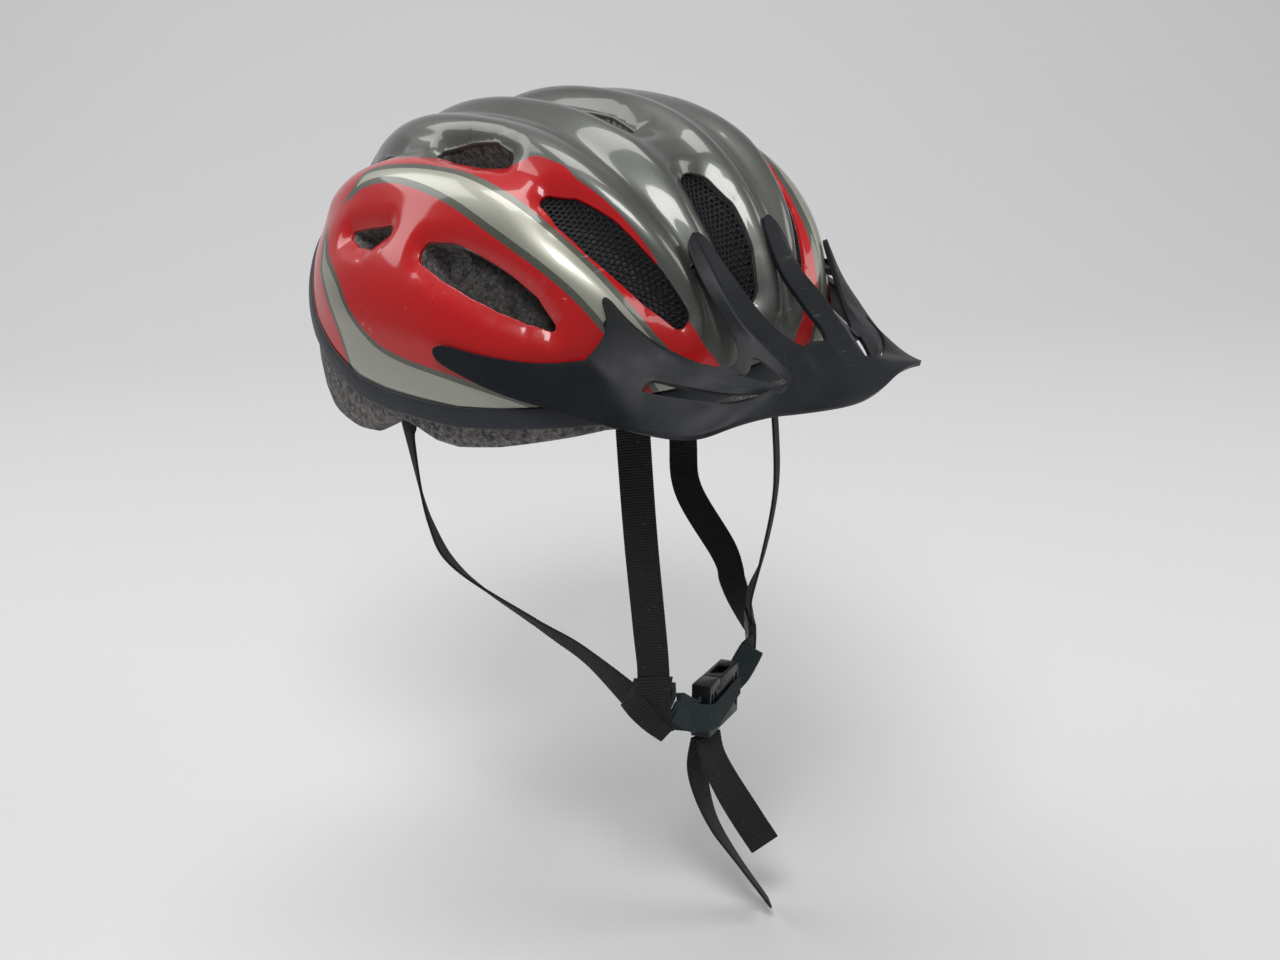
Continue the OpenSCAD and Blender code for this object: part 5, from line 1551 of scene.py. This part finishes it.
# Pads
def pad_tree():
    """Stitches laid along a line, each a short rounded thread, with named sizes."""
    tree, g, start, end = new_group(
        "Pad Stitches",
        [("Geometry", "NodeSocketGeometry", None), ("Stitch Length", "NodeSocketFloat", 0.0024),
         ("Thread Radius", "NodeSocketFloat", 0.0003), ("Material", "NodeSocketMaterial", None)],
        [("Geometry", "NodeSocketGeometry")], "GeometryNodeTree")
    line = g.add("GeometryNodeMeshToCurve")
    points = g.add("GeometryNodeCurveToPoints", mode="LENGTH")
    copies = g.add("GeometryNodeInstanceOnPoints")
    thread = g.add("GeometryNodeMeshUVSphere")
    for label, value in (("Segments", 6), ("Rings", 5), ("Radius", 1.0)):
        thread.inputs[label].default_value = value
    shape = g.add("ShaderNodeCombineXYZ")
    g.join(start.outputs["Geometry"], line.inputs["Mesh"])
    g.join(line.outputs["Curve"], points.inputs["Curve"])
    g.join(start.outputs["Stitch Length"], points.inputs["Length"])
    g.join(start.outputs["Thread Radius"], shape.inputs["X"])
    g.join(start.outputs["Thread Radius"], shape.inputs["Y"])
    g.join(g.math("MULTIPLY", start.outputs["Stitch Length"], 0.38), shape.inputs["Z"])
    g.join(points.outputs["Points"], copies.inputs["Points"])
    g.join(points.outputs["Rotation"], copies.inputs["Rotation"])
    g.join(thread.outputs["Mesh"], copies.inputs["Instance"])
    g.join(shape.outputs[0], copies.inputs["Scale"])
    end_painted(g, copies.outputs["Instances"], start, end)
    return tree


def pad_place(pad, a, b):
    """Chart places on a pad, from shares of its half width and half length; the brow pad bends."""
    p = pad[0] + pad[2] * a * np.sqrt(1 - PAD_ROUNDNESS * b * b)
    bend = BROW_BEND * p * p if pad[0] == 0 else 0
    return p, pad[1] + pad[3] * b * np.sqrt(1 - PAD_ROUNDNESS * a * a) - bend


def pad_fullness(a, b):
    """The share of its full thickness that a pad has."""
    return PAD_RIM + (1 - PAD_RIM) * np.sqrt(np.maximum(0, (1 - a ** 6) * (1 - b ** 6)))


def pad_fabric_body(name, pad, side, across, along):
    """A crowned closed pad with a welt round it and a little unevenness."""
    shares = [np.sin(np.linspace(-math.pi / 2, math.pi / 2, n + 1)) for n in (across, along)]
    a, b = np.meshgrid(*shares, indexing="ij")
    p, q = pad_place(pad, a, b)
    edge = np.maximum(abs(a), abs(b))
    welt = WELT_HEIGHT * bump_of(edge, WELT_PLACE, WELT_WIDTH)
    ripple = RIPPLE_HEIGHT * np.sin(11 * a + 5 * b) * np.sin(7 * b + 2) * (1 - edge ** 4)
    inner = PAD_BACK - PAD_THICKNESS * pad_fullness(a, b) + welt + ripple
    points = [on_dome(p * side, q, PAD_BACK).reshape(-1, 3), on_dome(p * side, q, inner).reshape(-1, 3)]
    size, row = a.size, along + 1
    loop = border_of(across + 1, row)
    quads = [(k, k + row, k + row + 1, k + 1) for i in range(across) for k in range(i * row, i * row + along)]
    faces = quads + turned_copy(quads, size) + joining_faces(loop, loop + size)
    body = new_object(name + "_fabric", np.concatenate(points), faces)
    face_outwards(body)
    return body


def pad_seam(name, pad, side):
    """The closed line just inside a pad's welt, along which its stitches lie."""
    n = 160
    turn = np.linspace(0, 2 * math.pi, n + 1)[:-1]
    reach = WELT_PLACE / np.maximum(abs(np.cos(turn)), abs(np.sin(turn))) ** 0.8
    a, b = (np.clip(way * reach, -WELT_PLACE, WELT_PLACE) for way in (np.cos(turn), np.sin(turn)))
    p, q = pad_place(pad, a, b)
    seam = on_dome(p * side, q, PAD_BACK - PAD_THICKNESS * pad_fullness(a, b) + SEAM_HEIGHT)
    return line_object(name, seam, [(i, (i + 1) % n) for i in range(n)])


class HELMET_OT_pads(bpy.types.Operator):
    """Build the crowned fabric pads with their welts and stitches."""

    bl_idname = "helmet.pads"
    bl_label = "Fit Pads"

    def execute(self, context):
        tree = pad_tree()
        rows = [("brow_pad", BROW_PAD, 1, 64, 22), ("crown_pad_left", CROWN_PAD, 1, 20, 56),
                ("crown_pad_right", CROWN_PAD, -1, 20, 56), ("side_pad_left", SIDE_PAD, 1, 20, 52),
                ("side_pad_right", SIDE_PAD, -1, 20, 52), ("rear_pad_left", REAR_PAD, 1, 30, 24),
                ("rear_pad_right", REAR_PAD, -1, 30, 24)]
        for name, pad, side, across, along in rows:
            body = pad_fabric_body(name, pad, side, across, along)
            finished(body, "helmet", "pad", "Pad Fabric", name)
            thread = with_nodes(pad_seam(name, pad, side), tree, name + "_stitches", Thread_Radius=0.00028,
                                Stitch_Length=settings().sizes.stitch_length,
                                Material=material_named("Loop Tape"))
            finished(thread, "helmet", "pad", "Loop Tape")
        return {"FINISHED"}


# Fittings: dividers, anchors, buckle, bushes and dots, from the frame's own solids
def softened(node, width, segments=3):
    """A copy of a node's solid, merged, with its flat faces joined and its edges rounded."""
    name = node + "_body"
    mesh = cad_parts[node].data.copy()
    mesh.name = name
    obj = bpy.data.objects.new(name, mesh)
    bpy.context.scene.collection.objects.link(obj)
    with editing(obj) as b:
        bmesh.ops.remove_doubles(b, verts=b.verts, dist=2e-6)
        bmesh.ops.dissolve_limit(b, angle_limit=math.radians(1), verts=b.verts, edges=b.edges)
        bmesh.ops.recalc_face_normals(b, faces=b.faces)
    round_edges(obj, width, segments, 35)
    result = baked(obj, name)
    result.data.shade_smooth()
    result.data.set_sharp_from_angle(angle=math.radians(50))
    return result


class HELMET_OT_fittings(bpy.types.Operator):
    """Round the edges of the dividers, anchors, bushes and dots."""

    bl_idname = "helmet.fittings"
    bl_label = "Fittings"

    def execute(self, context):
        rows = [("divider_left", 0.7), ("divider_right", 0.7), ("front_anchor_left", 0.5),
                ("front_anchor_right", 0.5), ("rear_anchor_left", 0.5), ("rear_anchor_right", 0.5),
                ("visor_bushes", 0.3)]
        for node, width in rows:
            finished(softened(node, width), "helmet", "fittings", "Fitting Plastic", node)
        finished(softened("pad_dots", 0.15, 2), "helmet", "dots", "Loop Tape", "pad_dots")
        return {"FINISHED"}


class HELMET_OT_buckle(bpy.types.Operator):
    """Round the edges of the side-release buckle's socket, plug and prongs."""

    bl_idname = "helmet.buckle"
    bl_label = "Buckle"

    def execute(self, context):
        rows = [("buckle_socket", "helmet", 0.7), ("buckle_plug", "plug", 0.6),
                ("upper_prong", "upper_prong", 0.3), ("lower_prong", "lower_prong", 0.3)]
        for node, body, width in rows:
            finished(softened(node, width), body, "buckle", "Buckle Plastic", node)
        return {"FINISHED"}


# Floor, backdrop, lights and camera
def floor_material(finish):
    """A pale seamless sweep with a faint unevenness."""
    material, g, shader = new_material("Pale Sweep", 0.9, Specular_IOR_Level=0.1)
    place = g.object_place()
    tone = g.fit(g.noise(place, 1.2, 2.0), 0.3, 0.7)
    g.join(g.shades(tone, finish.floor, 0.985, 1.0), shader.inputs["Base Color"])
    g.join(g.relief(g.noise(place, 300.0, 2.0), 0.00005), shader.inputs["Normal"])
    return material


def floor_sweep():
    """The pale floor, curved up into a backdrop behind the helmet; lengths here are in metres."""
    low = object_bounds()[0][2] - 0.004
    turn = math.radians(-40)
    start, radius, half_width = 0.9, 0.7, 3.5
    section = [(-2.5, 0), (start, 0)]
    section += [(start + radius * math.sin(math.radians(a)), radius - radius * math.cos(math.radians(a)))
                for a in range(6, 91, 6)]
    section += [(start + radius, 3.2)]
    points = [(x * math.cos(turn) - y * math.sin(turn), x * math.sin(turn) + y * math.cos(turn), low + height)
              for y, height in section for x in (-half_width, half_width)]
    faces = [(2 * k, 2 * k + 1, 2 * k + 3, 2 * k + 2) for k in range(len(section) - 1)]
    floor = new_object("floor_sweep", np.array(points) / MM, faces)
    floor.data.materials.append(floor_material(settings().finish))
    floor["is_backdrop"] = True


def soft_light(name, place, aim, size, watts):
    """A rectangular light that points at its aim."""
    data = bpy.data.lights.new(name, "AREA")
    data.shape = "RECTANGLE"
    data.size, data.size_y = size
    data.energy = watts
    light = bpy.data.objects.new(name, data)
    bpy.context.scene.collection.objects.link(light)
    light.location = place
    light.rotation_euler = (Vector(aim) - Vector(place)).to_track_quat("-Z", "Y").to_euler()


def studio_world(scene):
    """Weak even light from all round."""
    world = bpy.data.worlds.new("Studio")
    scene.world = world
    world.use_nodes = True
    background = world.node_tree.nodes["Background"]
    background.inputs["Color"].default_value = (0.92, 0.93, 0.95, 1)
    background.inputs["Strength"].default_value = 0.2


def fitted_camera(scene):
    """The camera, where the photograph was taken from."""
    az, el, roll = (math.radians(a) for a in (CAMERA_AZIMUTH, CAMERA_ELEVATION, CAMERA_ROLL))
    back = np.array([math.sin(az) * math.cos(el), -math.cos(az) * math.cos(el), math.sin(el)])
    level = np.array([math.cos(az), math.sin(az), 0])
    up = np.cross(back, level)
    right = math.cos(roll) * level - math.sin(roll) * up
    upward = math.sin(roll) * level + math.cos(roll) * up
    scale = CAMERA_DISTANCE / FOCAL_PIXELS
    shift_x = (ORIGIN_PIXEL[0] - PICTURE_WIDTH / 2) * scale
    shift_y = (PICTURE_HEIGHT / 2 - ORIGIN_PIXEL[1]) * scale
    eye = (-right * shift_x - upward * shift_y + back * CAMERA_DISTANCE) * MM
    data = bpy.data.cameras.new("Camera")
    data.sensor_width = SENSOR_WIDTH
    data.lens = SENSOR_WIDTH * FOCAL_PIXELS / PICTURE_WIDTH
    data.clip_end = 20
    camera = bpy.data.objects.new("Camera", data)
    scene.collection.objects.link(camera)
    turned = Matrix((right, upward, back)).transposed().to_4x4()
    camera.matrix_world = Matrix.Translation(Vector(eye)) @ turned
    scene.camera = camera


class HELMET_OT_stage(bpy.types.Operator):
    """Lay the pale floor and backdrop, hang the soft lights and set the camera."""

    bl_idname = "helmet.stage"
    bl_label = "Floor, Lights and Camera"

    def execute(self, context):
        floor_sweep()
        soft_light("Key", (-0.75, -0.75, 1.45), (0, 0, 0), (0.8, 0.6), 19)
        soft_light("Fill", (1.2, -1.0, 0.9), (0, 0, -0.05), (0.8, 0.8), 7)
        soft_light("Top", (0.15, 0.35, 1.6), (0, 0, 0), (1.2, 0.6), 12)
        soft_light("Back", (-0.6, 1.2, 1.0), (0, 0, 0), (0.8, 0.8), 6.5)
        studio_world(context.scene)
        fitted_camera(context.scene)
        context.scene.view_settings.view_transform = "Standard"
        return {"FINISHED"}


class HELMET_PT_panel(bpy.types.Panel):
    """Lists the helmet's pieces, sizes and colours."""

    bl_idname = "HELMET_PT_panel"
    bl_label = "Bicycle Helmet"
    bl_space_type = "VIEW_3D"
    bl_region_type = "UI"
    bl_category = "Helmet"

    def draw(self, context):
        layout = self.layout
        pieces = layout.column(align=True)
        for step in STEPS:
            pieces.operator(step.bl_idname)
        for title, group in (("Sizes", settings().sizes), ("Colours", settings().finish)):
            box = layout.box()
            box.label(text=title)
            for name in group.__annotations__:
                box.prop(group, name)


STEPS = (HELMET_OT_materials, HELMET_OT_shell, HELMET_OT_band, HELMET_OT_foam, HELMET_OT_nets,
         HELMET_OT_visor, HELMET_OT_straps, HELMET_OT_pads, HELMET_OT_fittings, HELMET_OT_buckle,
         HELMET_OT_stage)
CLASSES = (HelmetFinish, HelmetSizes, HelmetSettings) + STEPS + (HELMET_PT_panel,)


def register():
    for cls in CLASSES:
        bpy.utils.register_class(cls)
    bpy.types.Scene.bicycle_helmet = PointerProperty(type=HelmetSettings)


def unregister():
    del bpy.types.Scene.bicycle_helmet
    for cls in reversed(CLASSES):
        bpy.utils.unregister_class(cls)


def main():
    register()
    bpy.ops.helmet.materials()
    bpy.ops.helmet.shell()
    bpy.ops.helmet.band()
    bpy.ops.helmet.foam()
    bpy.ops.helmet.nets()
    bpy.ops.helmet.visor()
    bpy.ops.helmet.straps()
    bpy.ops.helmet.pads()
    bpy.ops.helmet.fittings()
    bpy.ops.helmet.buckle()
    bpy.ops.helmet.stage()


if __name__ == "__main__":
    main()
